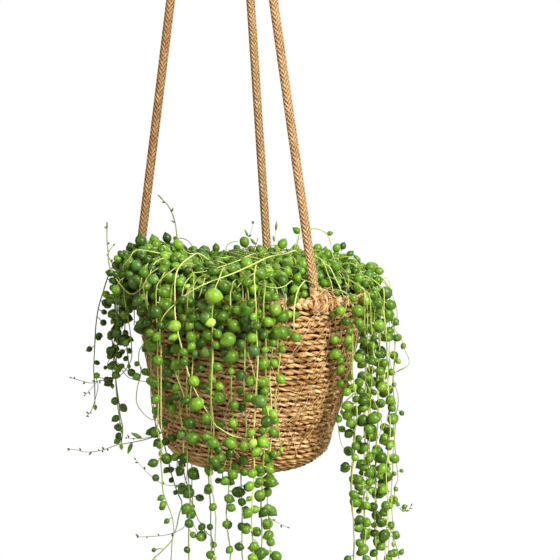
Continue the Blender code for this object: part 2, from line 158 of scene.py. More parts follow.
def even(path, step):
    """The same run of points, spaced evenly."""
    path = np.asarray(path, float)
    run = np.concatenate([[0.0], np.cumsum(np.linalg.norm(np.diff(path, axis=0), axis=1))])
    at = np.linspace(0.0, run[-1], max(2, int(round(run[-1] / step)) + 1))
    return np.column_stack([np.interp(at, run, path[:, k]) for k in range(path.shape[1])])


def smooth(knots, step):
    """Even points on a curve that bends gently through its knots."""
    knots = np.asarray(knots, float)
    ends = np.vstack([2 * knots[0] - knots[1], knots, 2 * knots[-1] - knots[-2]])
    t = np.linspace(0.0, 1.0, 16, endpoint=False)[:, None]
    parts = []
    for a, b, c, d in zip(ends, ends[1:], ends[2:], ends[3:]):
        parts.append(b + 0.5 * t * (c - a + t * (2 * a - 5 * b + 4 * c - d + t * (3 * (b - c) + d - a))))
    return even(np.vstack(parts + [knots[-1:]]), step)


def unit(vectors):
    return vectors / np.maximum(np.linalg.norm(vectors, axis=-1, keepdims=True), 1e-9)


def headings(path, closed=False):
    """The direction of a run at each of its points."""
    if closed:
        return unit(np.roll(path, -1, 0) - np.roll(path, 1, 0))
    return unit(np.gradient(path, axis=0))


class Skein:
    """What belongs to one piece, gathered into one mesh. Each point keeps its place in
    the straightened strand or in its pearl, as grain, and a tint of three numbers."""

    def __init__(self):
        self.points, self.grain, self.tint, self.corners = [], [], [], []
        self.sizes, self.slots = [], []
        self.total = 0

    def add(self, points, faces, grain, tint, slot=0):
        points = np.asarray(points, float).reshape(-1, 3)
        self.points.append(points)
        self.grain.append(np.asarray(grain, float).reshape(-1, 3))
        self.tint.append(np.broadcast_to(np.asarray(tint, float), points.shape))
        for group in faces:
            group = np.asarray(group, int)
            self.corners.append((group + self.total).ravel())
            self.sizes.append(np.full(len(group), group.shape[1]))
            self.slots.append(np.full(len(group), slot))
        self.total += len(points)

    def strand(self, path, radius, sides=5, tint=(0.5, 0.5, 0.5), outward=None,
               thickness=1.0, closed=False, slot=0, start=0.0):
        """A round or flattened strand along a path."""
        path = np.asarray(path, float)
        count = len(path)
        along = headings(path, closed)
        if outward is None:
            tries = unit(np.array([(1, 0, 0), (0, 1, 0), (0, 0, 1), (1, 1, 0), (1, -1, 0),
                                   (1, 0, 1), (0, 1, 1), (1, 0, -1), (0, 1, -1)], float))
            outward = tries[np.argmin(np.abs(along @ tries.T).max(0))]
        across = unit(np.cross(along, outward))
        up = np.cross(across, along)
        radius = np.broadcast_to(np.asarray(radius, float), (count,))
        angle = np.arange(sides) * math.tau / sides
        wide = radius[:, None, None] * np.cos(angle)[None, :, None] * across[:, None, :]
        high = radius[:, None, None] * np.sin(angle)[None, :, None] * up[:, None, :] * thickness
        rings = path[:, None, :] + wide + high
        run = np.concatenate([[0.0], np.cumsum(np.linalg.norm(np.diff(path, axis=0), axis=1))])
        grain = np.empty((count, sides, 3))
        grain[:, :, 0] = (run + start)[:, None]
        grain[:, :, 1] = radius[:, None] * np.cos(angle)
        grain[:, :, 2] = radius[:, None] * np.sin(angle)
        i = np.arange(count if closed else count - 1)[:, None]
        j = np.arange(sides)[None, :]
        after, beside = (i + 1) % count, (j + 1) % sides
        quads = np.stack([i * sides + j, after * sides + j, after * sides + beside,
                          i * sides + beside], -1).reshape(-1, 4)
        points, faces = rings.reshape(-1, 3), [quads]
        grain = grain.reshape(-1, 3)
        if not closed:
            points = np.vstack([points, path[:1], path[-1:]])
            grain = np.vstack([grain, grain[:1], grain[-1:]])
            j = np.arange(sides)
            beside = (j + 1) % sides
            first, last = np.full(sides, count * sides), np.full(sides, count * sides + 1)
            top = (count - 1) * sides
            faces.append(np.stack([first, j, beside], -1))
            faces.append(np.stack([last, top + beside, top + j], -1))
        if np.ndim(tint) == 2:
            tint = np.repeat(np.asarray(tint, float), sides, 0)
            if not closed:
                tint = np.vstack([tint, tint[:1], tint[-1:]])
        self.add(points, faces, grain, tint, slot)

    def build(self, name, *materials):
        mesh = bpy.data.meshes.new(name)
        points = np.vstack(self.points)
        corners, sizes = np.concatenate(self.corners), np.concatenate(self.sizes)
        mesh.vertices.add(len(points))
        mesh.vertices.foreach_set("co", points.ravel())
        mesh.loops.add(len(corners))
        mesh.loops.foreach_set("vertex_index", corners)
        mesh.polygons.add(len(sizes))
        mesh.polygons.foreach_set("loop_start", np.concatenate([[0], np.cumsum(sizes)[:-1]]))
        mesh.polygons.foreach_set("material_index", np.concatenate(self.slots))
        for key, rows in (("grain", self.grain), ("tint", self.tint)):
            layer = mesh.attributes.new(key, "FLOAT_VECTOR", "POINT")
            layer.data.foreach_set("vector", np.vstack(rows).ravel())
        mesh.update(calc_edges=True)
        mesh.shade_smooth()
        for material in materials:
            mesh.materials.append(material)
        piece = bpy.data.objects.new(name, mesh)
        bpy.context.scene.collection.objects.link(piece)
        return piece


def outside_of_basket(step):
    """The outline of the wall, the turned corner and the base, with what faces out."""
    outline = [(wall_radius(d), -d) for d in np.arange(0.0105, corner_depth, 0.004)]
    side = wall_radius(corner_depth) - corner_centre
    for angle in np.radians(np.arange(0.0, 91.0, 7.5)):
        outline.append((corner_centre + side * math.cos(angle),
                        -corner_depth - (basket_depth - corner_depth) * math.sin(angle)))
    outline.append((0.0, -basket_depth))
    outline = even(outline, step)
    along = headings(outline)
    return outline, np.column_stack([-along[:, 1], along[:, 0]])


def fibre_effect():
    """What dried stalks and spun jute share: streaks that run with the strand, patches
    that change slowly along it, and the height of the streaks."""
    group = bpy.data.node_groups.new("dried_fibre", "ShaderNodeTree")
    face = group.interface
    face.new_socket("Grain", in_out="INPUT", socket_type="NodeSocketVector")
    for key, value in (("Along", 110.0), ("Across", 2300.0), ("Patch", 22.0)):
        face.new_socket(key, in_out="INPUT", socket_type="NodeSocketFloat").default_value = value
    for key in ("Streak", "Tone"):
        face.new_socket(key, in_out="OUTPUT", socket_type="NodeSocketFloat")
    nodes, links = group.nodes, group.links
    given, put = nodes.new("NodeGroupInput"), nodes.new("NodeGroupOutput")
    spread = nodes.new("ShaderNodeCombineXYZ")
    links.new(given.outputs["Along"], spread.inputs["X"])
    links.new(given.outputs["Across"], spread.inputs["Y"])
    links.new(given.outputs["Across"], spread.inputs["Z"])
    fine = nodes.new("ShaderNodeVectorMath")
    fine.operation = "MULTIPLY"
    links.new(given.outputs["Grain"], fine.inputs[0])
    links.new(spread.outputs["Vector"], fine.inputs[1])
    streaks = nodes.new("ShaderNodeTexNoise")
    streaks.inputs["Scale"].default_value = 1.0
    streaks.inputs["Detail"].default_value = 2.0
    links.new(fine.outputs["Vector"], streaks.inputs["Vector"])
    coarse = nodes.new("ShaderNodeVectorMath")
    coarse.operation = "SCALE"
    links.new(given.outputs["Grain"], coarse.inputs[0])
    links.new(given.outputs["Patch"], coarse.inputs["Scale"])
    patches = nodes.new("ShaderNodeTexNoise")
    patches.inputs["Scale"].default_value = 1.0
    patches.inputs["Detail"].default_value = 1.0
    links.new(coarse.outputs["Vector"], patches.inputs["Vector"])
    tone = nodes.new("ShaderNodeMath")
    tone.operation = "MULTIPLY_ADD"
    links.new(streaks.outputs["Fac"], tone.inputs[0])
    tone.inputs[1].default_value = 0.55
    half = nodes.new("ShaderNodeMath")
    half.operation = "MULTIPLY"
    links.new(patches.outputs["Fac"], half.inputs[0])
    half.inputs[1].default_value = 0.45
    links.new(half.outputs["Value"], tone.inputs[2])
    links.new(streaks.outputs["Fac"], put.inputs["Streak"])
    links.new(tone.outputs["Value"], put.inputs["Tone"])
    return group


dried_fibre = fibre_effect()


def fibre_material(name, colours, along, across, patch, depth, roughness):
    """A dull fibre: three colours over its tone, a tint that darkens and reddens."""
    material = bpy.data.materials.new(name)
    material.use_nodes = True
    nodes, links = material.node_tree.nodes, material.node_tree.links
    shader = nodes["Principled BSDF"]
    grain = nodes.new("ShaderNodeAttribute")
    grain.attribute_name = "grain"
    tint = nodes.new("ShaderNodeAttribute")
    tint.attribute_name = "tint"
    parts = nodes.new("ShaderNodeSeparateXYZ")
    links.new(tint.outputs["Vector"], parts.inputs["Vector"])
    fibre = nodes.new("ShaderNodeGroup")
    fibre.node_tree = dried_fibre
    fibre.inputs["Along"].default_value = along
    fibre.inputs["Across"].default_value = across
    fibre.inputs["Patch"].default_value = patch
    links.new(grain.outputs["Vector"], fibre.inputs["Grain"])
    lift = nodes.new("ShaderNodeMath")
    links.new(fibre.outputs["Tone"], lift.inputs[0])
    shift = nodes.new("ShaderNodeMapRange")
    shift.inputs["From Min"].default_value = 0.0
    shift.inputs["From Max"].default_value = 1.0
    shift.inputs["To Min"].default_value = -0.22
    shift.inputs["To Max"].default_value = 0.22
    links.new(parts.outputs["X"], shift.inputs["Value"])
    links.new(shift.outputs["Result"], lift.inputs[1])
    ramp = nodes.new("ShaderNodeValToRGB")
    for stop, (place, colour) in zip(range(3), colours):
        if stop < 2:
            point = ramp.color_ramp.elements[stop]
            point.position = place
        else:
            point = ramp.color_ramp.elements.new(place)
        point.color = (*colour, 1.0)
    links.new(lift.outputs["Value"], ramp.inputs["Fac"])
    redder = nodes.new("ShaderNodeMix")
    redder.data_type = "RGBA"
    redder.blend_type = "MULTIPLY"
    links.new(parts.outputs["Y"], redder.inputs["Factor"])
    links.new(ramp.outputs["Color"], redder.inputs["A"])
    redder.inputs["B"].default_value = (0.80, 0.52, 0.42, 1.0)
    links.new(redder.outputs["Result"], shader.inputs["Base Color"])
    bump = nodes.new("ShaderNodeBump")
    bump.inputs["Strength"].default_value = 0.8
    bump.inputs["Distance"].default_value = depth
    links.new(fibre.outputs["Streak"], bump.inputs["Height"])
    links.new(bump.outputs["Normal"], shader.inputs["Normal"])
    shader.inputs["Roughness"].default_value = roughness
    shader.inputs["Specular IOR Level"].default_value = 0.3
    return material


seagrass = fibre_material(
    "dried_seagrass",
    ((0.34, (0.120, 0.036, 0.003)), (0.50, (0.480, 0.275, 0.090)), (0.68, (0.820, 0.610, 0.350))),
    120.0, 1500.0, 34.0, 0.0008, 0.80)

weaver = random.Random(3)
noise = np.random.default_rng(3)


def wander(count, knots, size):
    """A slow random drift over a number of points."""
    return size * np.interp(np.linspace(0.0, 1.0, count), np.linspace(0.0, 1.0, knots),
                            noise.uniform(-1.0, 1.0, knots))


def painted_side_shade(bearings, depths):
    """How light and how red the weave is: tan on the right, redder and duller on the left
    and towards the base. This is painted light and shade by side: the red stands for the
    shade on the left and at the base, and the extra lightness there for fill light."""
    left = np.clip(0.5 - 0.62 * np.cos(bearings + math.radians(18.0)), 0.0, 1.0)
    low = np.clip((depths - 0.05) / 0.10, 0.0, 1.0)
    light = 0.53 + 0.20 * left + 0.05 * low
    return light, np.clip(0.42 * left + 0.15 * low, 0.0, 1.0)


def lay_course(skein, radius, height, facing, spacing, number):
    """One round of loose two-ply cord. Where a ply comes to the front it shows as a
    slanted grain, and where it dives it leaves a dark gap. The ply's colour is also painted
    lighter where it comes out and darker where it dives: painted shade in the gaps."""
    count = max(12, int(round(math.tau * radius / course_step)))
    bearing = np.linspace(0.0, math.tau, count, endpoint=False)
    turns = max(2, round(math.tau * radius / (0.0185 + 0.0030 * math.sin(number * 2.1))))
    ply = 0.30 * spacing
    drift = wander(count, 30, 0.8)
    drift += (drift[0] - drift[-1]) * np.linspace(0.0, 1.0, count)
    level = wander(count, 17, 0.0003)
    level += (level[0] - level[-1]) * np.linspace(0.0, 1.0, count)
    down = (facing[1], -facing[0])
    for strand in range(2):
        climb = -(turns * bearing + drift + math.pi * strand + number * 1.3)
        out = 0.20 * spacing * np.cos(climb) - 0.45 * ply
        side = 0.20 * spacing * np.sin(climb) + level
        r = radius + facing[0] * out - down[0] * side
        z = height + facing[1] * out - down[1] * side
        path = np.column_stack([r * np.cos(bearing), r * np.sin(bearing), z])
        face = np.column_stack([
            facing[0] * np.cos(bearing), facing[0] * np.sin(bearing), np.full(count, facing[1])])
        thick = ply * (0.96 + wander(count, max(2, count // 3), 0.26))
        # Painted side shade: redder and duller on the left and towards the base.
        light, red = painted_side_shade(bearing, np.full(count, -height))
        # Painted light and shade: lighter where the ply comes out, darker where it dives.
        light = light + wander(count, max(2, count // 4), 0.30) + 0.16 * np.cos(climb) - 0.10
        red = red + wander(count, max(2, count // 10), 0.18)
        tint = np.column_stack([light, np.clip(red, 0.0, 1.0), np.zeros(count)])
        skein.strand(in_basket(path), thick, 5, tint, face, 0.85, True,
                     start=weaver.uniform(0.0, 50.0))


outline, facings = outside_of_basket(outline_step)
body_rounds, base_rounds = Skein(), Skein()
run, number = 0.0, 0
while run < outline_step * (len(outline) - 5):
    spacing = top_course + (low_course - top_course) * min(run / 0.110, 1.0)
    (radius, height), facing = outline[int(run / outline_step)], facings[int(run / outline_step)]
    rounds = body_rounds if -height < basket_depth - 0.004 else base_rounds
    lay_course(rounds, radius, height, facing, spacing, number)
    run += spacing
    number += 1
basket_wall = body_rounds.build("basket_wall", seagrass)
basket_base = base_rounds.build("basket_base", seagrass)

plait = Skein()
round_edge = np.linspace(0.0, math.tau, 520, endpoint=False)
# The edge takes the same painted side shade as the weave.
edge_light, edge_red = painted_side_shade(round_edge, np.zeros(520))
edge_out = np.column_stack([np.cos(round_edge), np.sin(round_edge), np.full(520, 0.35)])
for strand in range(3):
    swing = 36 * round_edge + strand * math.tau / 3
    for half in (-1, 1):
        side = 0.0026 * np.sin(swing) + half * 0.00092
        out = 0.0013 * np.sin(2 * swing) + 0.0008
        lean = 0.35
        r = edge_centre + out - lean * side + 0.0011
        z = -edge_radius + 0.0008 + lean * out + side
        path = np.column_stack([r * np.cos(round_edge), r * np.sin(round_edge), z])
        tint = np.column_stack([
            edge_light + 0.15 + wander(520, 60, 0.25),
            np.clip(edge_red + wander(520, 40, 0.14), 0.0, 1.0), np.zeros(520)])
        plait.strand(in_basket(path), 0.00125 * (1.0 + wander(520, 110, 0.2)), 5, tint,
                     edge_out, 0.8, True, start=strand * 9.0 + half)
core = np.column_stack([edge_centre * np.cos(round_edge[::5]), edge_centre * np.sin(round_edge[::5]),
                        np.full(104, -edge_radius)])
# The core under the plait is painted dark: painted shade between its strands.
plait.strand(in_basket(core), 0.0034, 6, (0.1, 0.5, 0.0), closed=True)
basket_edge = plait.build("basket_edge", seagrass)

lining = Skein()
inside = [(wall_radius(d) - wall, -d) for d in np.arange(0.008, corner_depth + 0.006, 0.012)]
inside += [(0.050, -(basket_depth - wall)), (0.0, -(basket_depth - wall))]
shell = [(0.0, -(basket_depth - 0.0035)), (0.046, -(basket_depth - 0.0035))]
shell += [(wall_radius(d) - 0.0034, -d) for d in np.arange(corner_depth + 0.006, 0.006, -0.012)]
ring = np.linspace(0.0, math.tau, 72, endpoint=False)
profile = np.array(inside[::-1] + shell[::-1])
skin = np.stack([profile[:, None, 0] * np.cos(ring), profile[:, None, 0] * np.sin(ring),
                 np.broadcast_to(profile[:, None, 1], (len(profile), 72))], -1)
i, j = np.arange(len(profile) - 1)[:, None], np.arange(72)[None, :]
quads = np.stack([i * 72 + j, i * 72 + (j + 1) % 72, (i + 1) * 72 + (j + 1) % 72, (i + 1) * 72 + j], -1)
flat_grain = np.stack([np.broadcast_to(ring * 0.09, skin.shape[:2]), skin[:, :, 2],
                       np.zeros(skin.shape[:2])], -1)
# The inner wall is painted darker than the cord: painted shade seen through the gaps between the rounds.
lining.add(in_basket(skin.reshape(-1, 3)), [quads.reshape(-1, 4)], flat_grain, (0.20, 0.6, 0.0))
basket_lining = lining.build("basket_lining", seagrass)

wisps = Skein()
for _ in range(760):
    bearing = weaver.uniform(-math.pi, math.pi)
    depth = weaver.uniform(0.006, 0.128)
    slope = math.radians(weaver.gauss(56.0, 14.0)) * (1 if weaver.random() < 0.80 else -1)
    length = weaver.uniform(0.010, 0.044)
    lift = weaver.uniform(0.0004, 0.0018)
    steps = np.linspace(0.0, 1.0, 9)
    curve = weaver.uniform(-0.5, 0.5)
    d = depth - length * steps * math.sin(slope) + 0.3 * curve * length * steps * (1 - steps)
    d = np.clip(d, -0.001, 0.128)
    angle = bearing + length * steps * math.cos(slope) / 0.085
    r = np.array([wall_radius(max(x, 0.0)) for x in d]) + 0.0008 + lift * np.sin(steps * math.pi)
    path = np.column_stack([r * np.cos(angle), r * np.sin(angle), -d])
    # The loose fibres take the same painted side shade as the weave.
    light, red = painted_side_shade(np.array([bearing]), np.array([depth]))
    tint = (light[0] + weaver.uniform(-0.25, 0.40), red[0] * 0.7, 0.0)
    wisps.strand(in_basket(path), weaver.uniform(0.00018, 0.00036), 3, tint,
                 start=weaver.uniform(0.0, 9.0))
basket_fibres = wisps.build("basket_fibres", seagrass)

for piece in (basket_wall, basket_base, basket_edge, basket_lining, basket_fibres):
    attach(piece, "root")
    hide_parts("basket")


# The ropes
# Each is a round braid of sixteen jute strands, eight turning each way. It is sewn to the
# edge at its foot and runs straight and tight to the binding under the hook.

rope_radius = 0.00375
rope_feet = {"left": 184.0, "back": 81.0, "right": -56.0}
binding_top = -0.062
binding_bottom = -0.100
bundle_radius = (rope_radius + 0.0002) / math.sin(math.radians(36.0))
bundle_places = {"left": 126.0, "back": 54.0, "right": 270.0}
braid_pitch = 0.0300
column_turn = math.radians(22.5)


def by_rim(radius, degrees, height):
    angle = math.radians(degrees)
    return np.array(basket_frame @ Vector((
        radius * math.cos(angle), radius * math.sin(angle), height)))


def in_bundle(degrees, height):
    angle = math.radians(degrees)
    return np.array((bundle_radius * math.cos(angle), bundle_radius * math.sin(angle), height))


def rope_route(name):
    foot = by_rim(edge_centre, rope_feet[name], 0.0010) - np.array((0.0010, 0.0, 0.0))
    bend = in_bundle(bundle_places[name], binding_bottom - 0.004)
    end = in_bundle(bundle_places[name], binding_top + 0.002)
    shoulder = foot + (bend - foot) * 0.985
    return even([foot, shoulder, bend + np.array((0.0, 0.0, 0.001)), end], braid_pitch / 32)


def braid(skein, path, side, light):
    """Sixteen flat strands, eight turning each way, over two and under two round a core,
    so that they lie in columns of slanting strokes."""
    run = np.concatenate([[0.0], np.cumsum(np.linalg.norm(np.diff(path, axis=0), axis=1))])
    along = headings(path)
    across = unit(np.cross(along, side))
    up = np.cross(across, along)
    turn = math.tau * run / braid_pitch
    for number in range(16):
        way = 1 if number % 2 == 0 else -1
        angle = way * turn + (number // 2) * math.pi / 4 + (0.0 if way > 0 else math.pi / 8)
        out = np.cos(angle)[:, None] * across + np.sin(angle)[:, None] * up
        over = np.tanh(2.2 * way * np.cos(4 * (angle - column_turn)))
        far = rope_radius * 0.75 + 0.00040 * over
        # Painted light and shade: each strand is lighter where it passes over and darker where it passes under.
        tint = np.column_stack([light + 0.11 * over + wander(len(path), len(path) // 20, 0.12),
                                0.10 + wander(len(path), len(path) // 20, 0.06), np.zeros(len(path))])
        skein.strand(path + out * far[:, None], 0.00092, 4, np.clip(tint, 0.0, 1.0), out, 0.60,
                     start=number * 3.0)
    # The core is painted dark: painted shade seen between the strands.
    skein.strand(path[::8], rope_radius * 0.62, 8, (0.0, 0.8, 0.0), side)


jute = fibre_material(
    "braided_jute",
    ((0.20, (0.200, 0.085, 0.022)), (0.50, (0.500, 0.320, 0.155)), (0.80, (0.820, 0.640, 0.410))),
    200.0, 3600.0, 20.0, 0.0004, 0.78)

# The left rope is painted darker than the other two: painted shade on the side away from the light.
for name, light in (("left", 0.12), ("back", 0.38), ("right", 0.39)):
    rope = Skein()
    braid(rope, rope_route(name), np.array((1.0, 0.0, 0.0)), light)
    piece = rope.build("braided_rope_" + name, jute)
    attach(piece, "root")
    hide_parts("rope_" + name)

# The lashings
# Where a rope meets the edge, loose ends of seagrass are wound over the edge and round
# the rope's foot, pulled tight and tucked in. They leave a fuzzy lump beside the rope.

for name, bearing in rope_feet.items():
    wrap = Skein()
    hands = random.Random("lashing " + name)
    foot = by_rim(edge_centre, bearing, 0.0)
    up_rope = unit(rope_route(name)[34] - foot)
    for turn in range(15):
        at = math.radians(bearing + 1.5 + hands.uniform(-5.2, 6.6))
        lean = hands.uniform(-0.5, 0.5)
        wide, tall = hands.uniform(0.0050, 0.0062), hands.uniform(0.0058, 0.0078)
        ring = np.linspace(0.0, math.tau, 20, endpoint=False) + hands.uniform(0.0, 1.0)
        r = edge_centre + wide * np.cos(ring)
        z = -0.0032 + tall * np.sin(ring)
        a = at + lean * np.sin(ring) * 0.06
        tint = (hands.uniform(0.35, 0.85), hands.uniform(0.05, 0.5), 0.0)
        wrap.strand(in_basket(np.column_stack([r * np.cos(a), r * np.sin(a), z])),
                    hands.uniform(0.0007, 0.0011), 5, tint, closed=True,
                    start=hands.uniform(0.0, 9.0))
    for turn in range(6):
        ring = np.linspace(0.0, math.tau, 18, endpoint=False)
        lean = hands.uniform(-0.35, 0.35)
        middle = foot + up_rope * (0.0012 + 0.0014 * turn)
        size = rope_radius + 0.0009 - 0.00008 * turn
        path = middle + np.column_stack([
            size * np.cos(ring), size * np.sin(ring), lean * size * np.cos(ring + turn)])
        wrap.strand(path, 0.00085, 5, (hands.uniform(0.4, 0.9), 0.2, 0.0), closed=True,
                    start=hands.uniform(0.0, 9.0))
    for turn in range(34):
        ends = []
        for _ in range(3):
            a = math.radians(bearing + 2.0 + hands.uniform(-7.5, 9.0))
            r = edge_centre + hands.uniform(-0.006, 0.0095)
            ends.append(by_rim(r, math.degrees(a), hands.uniform(-0.011, 0.009)))
        wrap.strand(smooth(ends, 0.0012), hands.uniform(0.00018, 0.00034), 3,
                    (hands.uniform(0.5, 1.1), 0.15, 0.0), start=hands.uniform(0.0, 9.0))
    piece = wrap.build("rope_lashing_" + name, seagrass)
    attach(piece, "root")
    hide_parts("lashing_" + name)


# The hanging loop and its binding
# A sixth length of the same braid is bent over to take the hook. Its two legs and the
# three ropes are laid side by side and whipped together with thin twine.

loop_width = 0.030
legs = [in_bundle(place, binding_bottom + 0.001) for place in (198.0, 342.0)]
half_leg = np.linalg.norm(legs[1] - legs[0]) / 2
swing = loop_width / 2 + rope_radius
bend_height = rope_radius - swing
leg_top = binding_top + 0.003
side = [(half_leg, binding_bottom + 0.001), (half_leg, leg_top)]
for share in (0.35, 0.7):
    ease = share * share * (3 - 2 * share)
    side.append((half_leg + (swing - half_leg) * ease, leg_top + (bend_height - leg_top) * share))
for angle in np.radians((0.0, 22.5, 45.0, 67.5)):
    side.append((swing * math.cos(angle), bend_height + swing * math.sin(angle)))
loop_outline = side + [(0.0, rope_radius)] + [(-u, z) for u, z in reversed(side)]
knots = []
for u, height in loop_outline:
    share = min(max((height - leg_top) / (bend_height - leg_top), 0.0), 1.0)
    knots.append((u, legs[0][1] * (1 - share), height))
loop = Skein()
braid(loop, smooth(knots, braid_pitch / 32), np.array((0.0, 1.0, 0.0)), 0.5)
hanging_loop = loop.build("hanging_loop", jute)
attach(hanging_loop, "root")
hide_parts("hang_loop")

twine = Skein()
bundle_out = bundle_radius + rope_radius + 0.0003
for layer, (first, last) in enumerate(((binding_bottom + 0.0012, binding_top - 0.0012),
                                       (binding_bottom + 0.008, binding_top - 0.008))):
    turns = (last - first) / 0.00215
    angle = np.arange(0.0, turns * math.tau, 0.19)
    r = bundle_out + 0.00105 + layer * 0.0016 + 0.00012 * np.sin(angle * 0.37)
    z = first + (last - first) * angle / angle[-1]
    path = np.column_stack([r * np.cos(angle), r * np.sin(angle), z + 0.0002 * np.sin(angle * 1.7)])
    for half in range(2):
        twist = angle * bundle_out / 0.0011 + half * math.pi
        lay = path + 0.00042 * np.column_stack([
            np.cos(twist) * np.cos(angle), np.cos(twist) * np.sin(angle), np.sin(twist)])
        twine.strand(lay, 0.00072, 4, (0.45 + 0.1 * layer, 0.3, 0.0), start=half * 5.0)
    # The core of the twine is painted dark: painted shade between its two plies.
    twine.strand(path[::4], 0.0006, 4, (0.1, 0.6, 0.0))
whipping = twine.build("twine_whipping", jute)
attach(whipping, "root")
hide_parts("top_binding")


# The nursery pot and its soil
# A thin black pot, blow moulded, stands on the basket's floor. It is full of dark soil
# with bits of bark and white grit, and the stems root in it.

pot_black = bpy.data.materials.new("black_pot_plastic")
pot_black.use_nodes = True
nodes, links = pot_black.node_tree.nodes, pot_black.node_tree.links
shader = nodes["Principled BSDF"]
shader.inputs["Roughness"].default_value = 0.48
place = nodes.new("ShaderNodeTexCoord")
scuffs = nodes.new("ShaderNodeTexNoise")
scuffs.inputs["Scale"].default_value = 260.0
links.new(place.outputs["Object"], scuffs.inputs["Vector"])
ramp = nodes.new("ShaderNodeValToRGB")
ramp.color_ramp.elements[0].color = (0.012, 0.012, 0.012, 1.0)
ramp.color_ramp.elements[1].color = (0.045, 0.043, 0.040, 1.0)
links.new(scuffs.outputs["Fac"], ramp.inputs["Fac"])
links.new(ramp.outputs["Color"], shader.inputs["Base Color"])
pot_solid = bpy.data.objects["grow_pot"]
for slot in pot_solid.material_slots:
    slot.material = pot_black

earth = bpy.data.materials.new("potting_earth")
earth.use_nodes = True
nodes, links = earth.node_tree.nodes, earth.node_tree.links
shader = nodes["Principled BSDF"]
shader.inputs["Roughness"].default_value = 0.95
shader.inputs["Specular IOR Level"].default_value = 0.2
place = nodes.new("ShaderNodeTexCoord")
crumbs = nodes.new("ShaderNodeTexVoronoi")
crumbs.inputs["Scale"].default_value = 420.0
links.new(place.outputs["Object"], crumbs.inputs["Vector"])
ramp = nodes.new("ShaderNodeValToRGB")
ramp.color_ramp.elements[0].color = (0.055, 0.034, 0.020, 1.0)
ramp.color_ramp.elements[1].color = (0.012, 0.008, 0.005, 1.0)
links.new(crumbs.outputs["Distance"], ramp.inputs["Fac"])
links.new(ramp.outputs["Color"], shader.inputs["Base Color"])
bump = nodes.new("ShaderNodeBump")
bump.inputs["Strength"].default_value = 1.0
bump.inputs["Distance"].default_value = 0.002
bump.invert = True
links.new(crumbs.outputs["Distance"], bump.inputs["Height"])
links.new(bump.outputs["Normal"], shader.inputs["Normal"])
for slot in bpy.data.objects["soil"].material_slots:
    slot.material = earth


# The plant's skins
# Pearls are waxy, swollen leaves. Each is its own green, paler at the stalk, faintly
# veined from end to end, with a darker clear line along the upper side that lets light in.

waxy = bpy.data.materials.new("waxy_pearl")
waxy.use_nodes = True
nodes, links = waxy.node_tree.nodes, waxy.node_tree.links
shader = nodes["Principled BSDF"]


def node(kind, **sockets):
    made = nodes.new("ShaderNode" + kind)
    for key, value in sockets.items():
        made.inputs[key].default_value = value
    return made


def maths(operation, first, second):
    """One sum of two sockets, or of a socket and a number."""
    made = nodes.new("ShaderNodeMath")
    made.operation = operation
    for socket, value in zip(made.inputs, (first, second)):
        if isinstance(value, (int, float)):
            socket.default_value = value
        else:
            links.new(value, socket)
    return made.outputs["Value"]


def between(value, low, high):
    """Smoothly from 0 at low to 1 at high."""
    made = nodes.new("ShaderNodeMapRange")
    made.interpolation_type = "SMOOTHSTEP"
    links.new(value, made.inputs["Value"])
    made.inputs["From Min"].default_value = low
    made.inputs["From Max"].default_value = high
    return made.outputs["Result"]


def blend(kind, share, first, second):
    made = nodes.new("ShaderNodeMix")
    made.data_type = "RGBA"
    made.blend_type = kind
    for key, value in (("Factor", share), ("A", first), ("B", second)):
        if isinstance(value, (int, float)):
            made.inputs[key].default_value = value
        elif isinstance(value, tuple):
            made.inputs[key].default_value = (*value, 1.0)
        else:
            links.new(value, made.inputs[key])
    return made.outputs["Result"]


grain = node("Attribute")
grain.attribute_name = "grain"
tint = node("Attribute")
tint.attribute_name = "tint"
local, own = node("SeparateXYZ"), node("SeparateXYZ")
links.new(grain.outputs["Vector"], local.inputs["Vector"])
links.new(tint.outputs["Vector"], own.inputs["Vector"])
greens = node("ValToRGB")
for stop, (place, colour) in enumerate((
        (0.0, (0.027, 0.080, 0.003)), (0.35, (0.094, 0.208, 0.009)),
        (0.70, (0.212, 0.400, 0.028)), (1.0, (0.480, 0.630, 0.115)))):
    ramp = greens.color_ramp
    point = ramp.elements[stop] if stop < 2 else ramp.elements.new(place)
    point.position = place
    point.color = (*colour, 1.0)
mottle = node("TexNoise", Scale=2.4, Detail=1.0)
seeded = node("VectorMath")
seeded.operation = "MULTIPLY_ADD"
links.new(tint.outputs["Vector"], seeded.inputs[0])
seeded.inputs[1].default_value = (37.0, 91.0, 53.0)
links.new(grain.outputs["Vector"], seeded.inputs[2])
links.new(seeded.outputs["Vector"], mottle.inputs["Vector"])
hue = maths("ADD", own.outputs["X"], maths("MULTIPLY", maths("SUBTRACT", mottle.outputs["Fac"], 0.5), 0.35))
hue = maths("ADD", hue, maths("MULTIPLY", between(local.outputs["Z"], -0.55, -1.0), 0.30))
links.new(hue, greens.inputs["Fac"])
around = node("VectorMath")
around.operation = "MULTIPLY"
links.new(grain.outputs["Vector"], around.inputs[0])
around.inputs[1].default_value = (1.0, 1.0, 0.0)
even_out = node("VectorMath")
even_out.operation = "NORMALIZE"
links.new(around.outputs["Vector"], even_out.inputs[0])
veins = node("TexNoise", Scale=5.5, Detail=1.0)
links.new(even_out.outputs["Vector"], veins.inputs["Vector"])
skin = blend("MULTIPLY", maths("MULTIPLY", between(veins.outputs["Fac"], 0.52, 0.68), 0.30),
             greens.outputs["Color"], (0.62, 0.78, 0.55))
bloom = maths("MULTIPLY", own.outputs["Z"], 0.55)
skin = blend("MIX", bloom, skin, (0.105, 0.215, 0.070))
line = between(maths("ABSOLUTE", local.outputs["Y"], 0.0), 0.13, 0.05)
line = maths("MULTIPLY", line, between(local.outputs["X"], 0.05, 0.35))
line = maths("MULTIPLY", line, 0.55)
skin = blend("MULTIPLY", line, skin, (0.34, 0.52, 0.34))
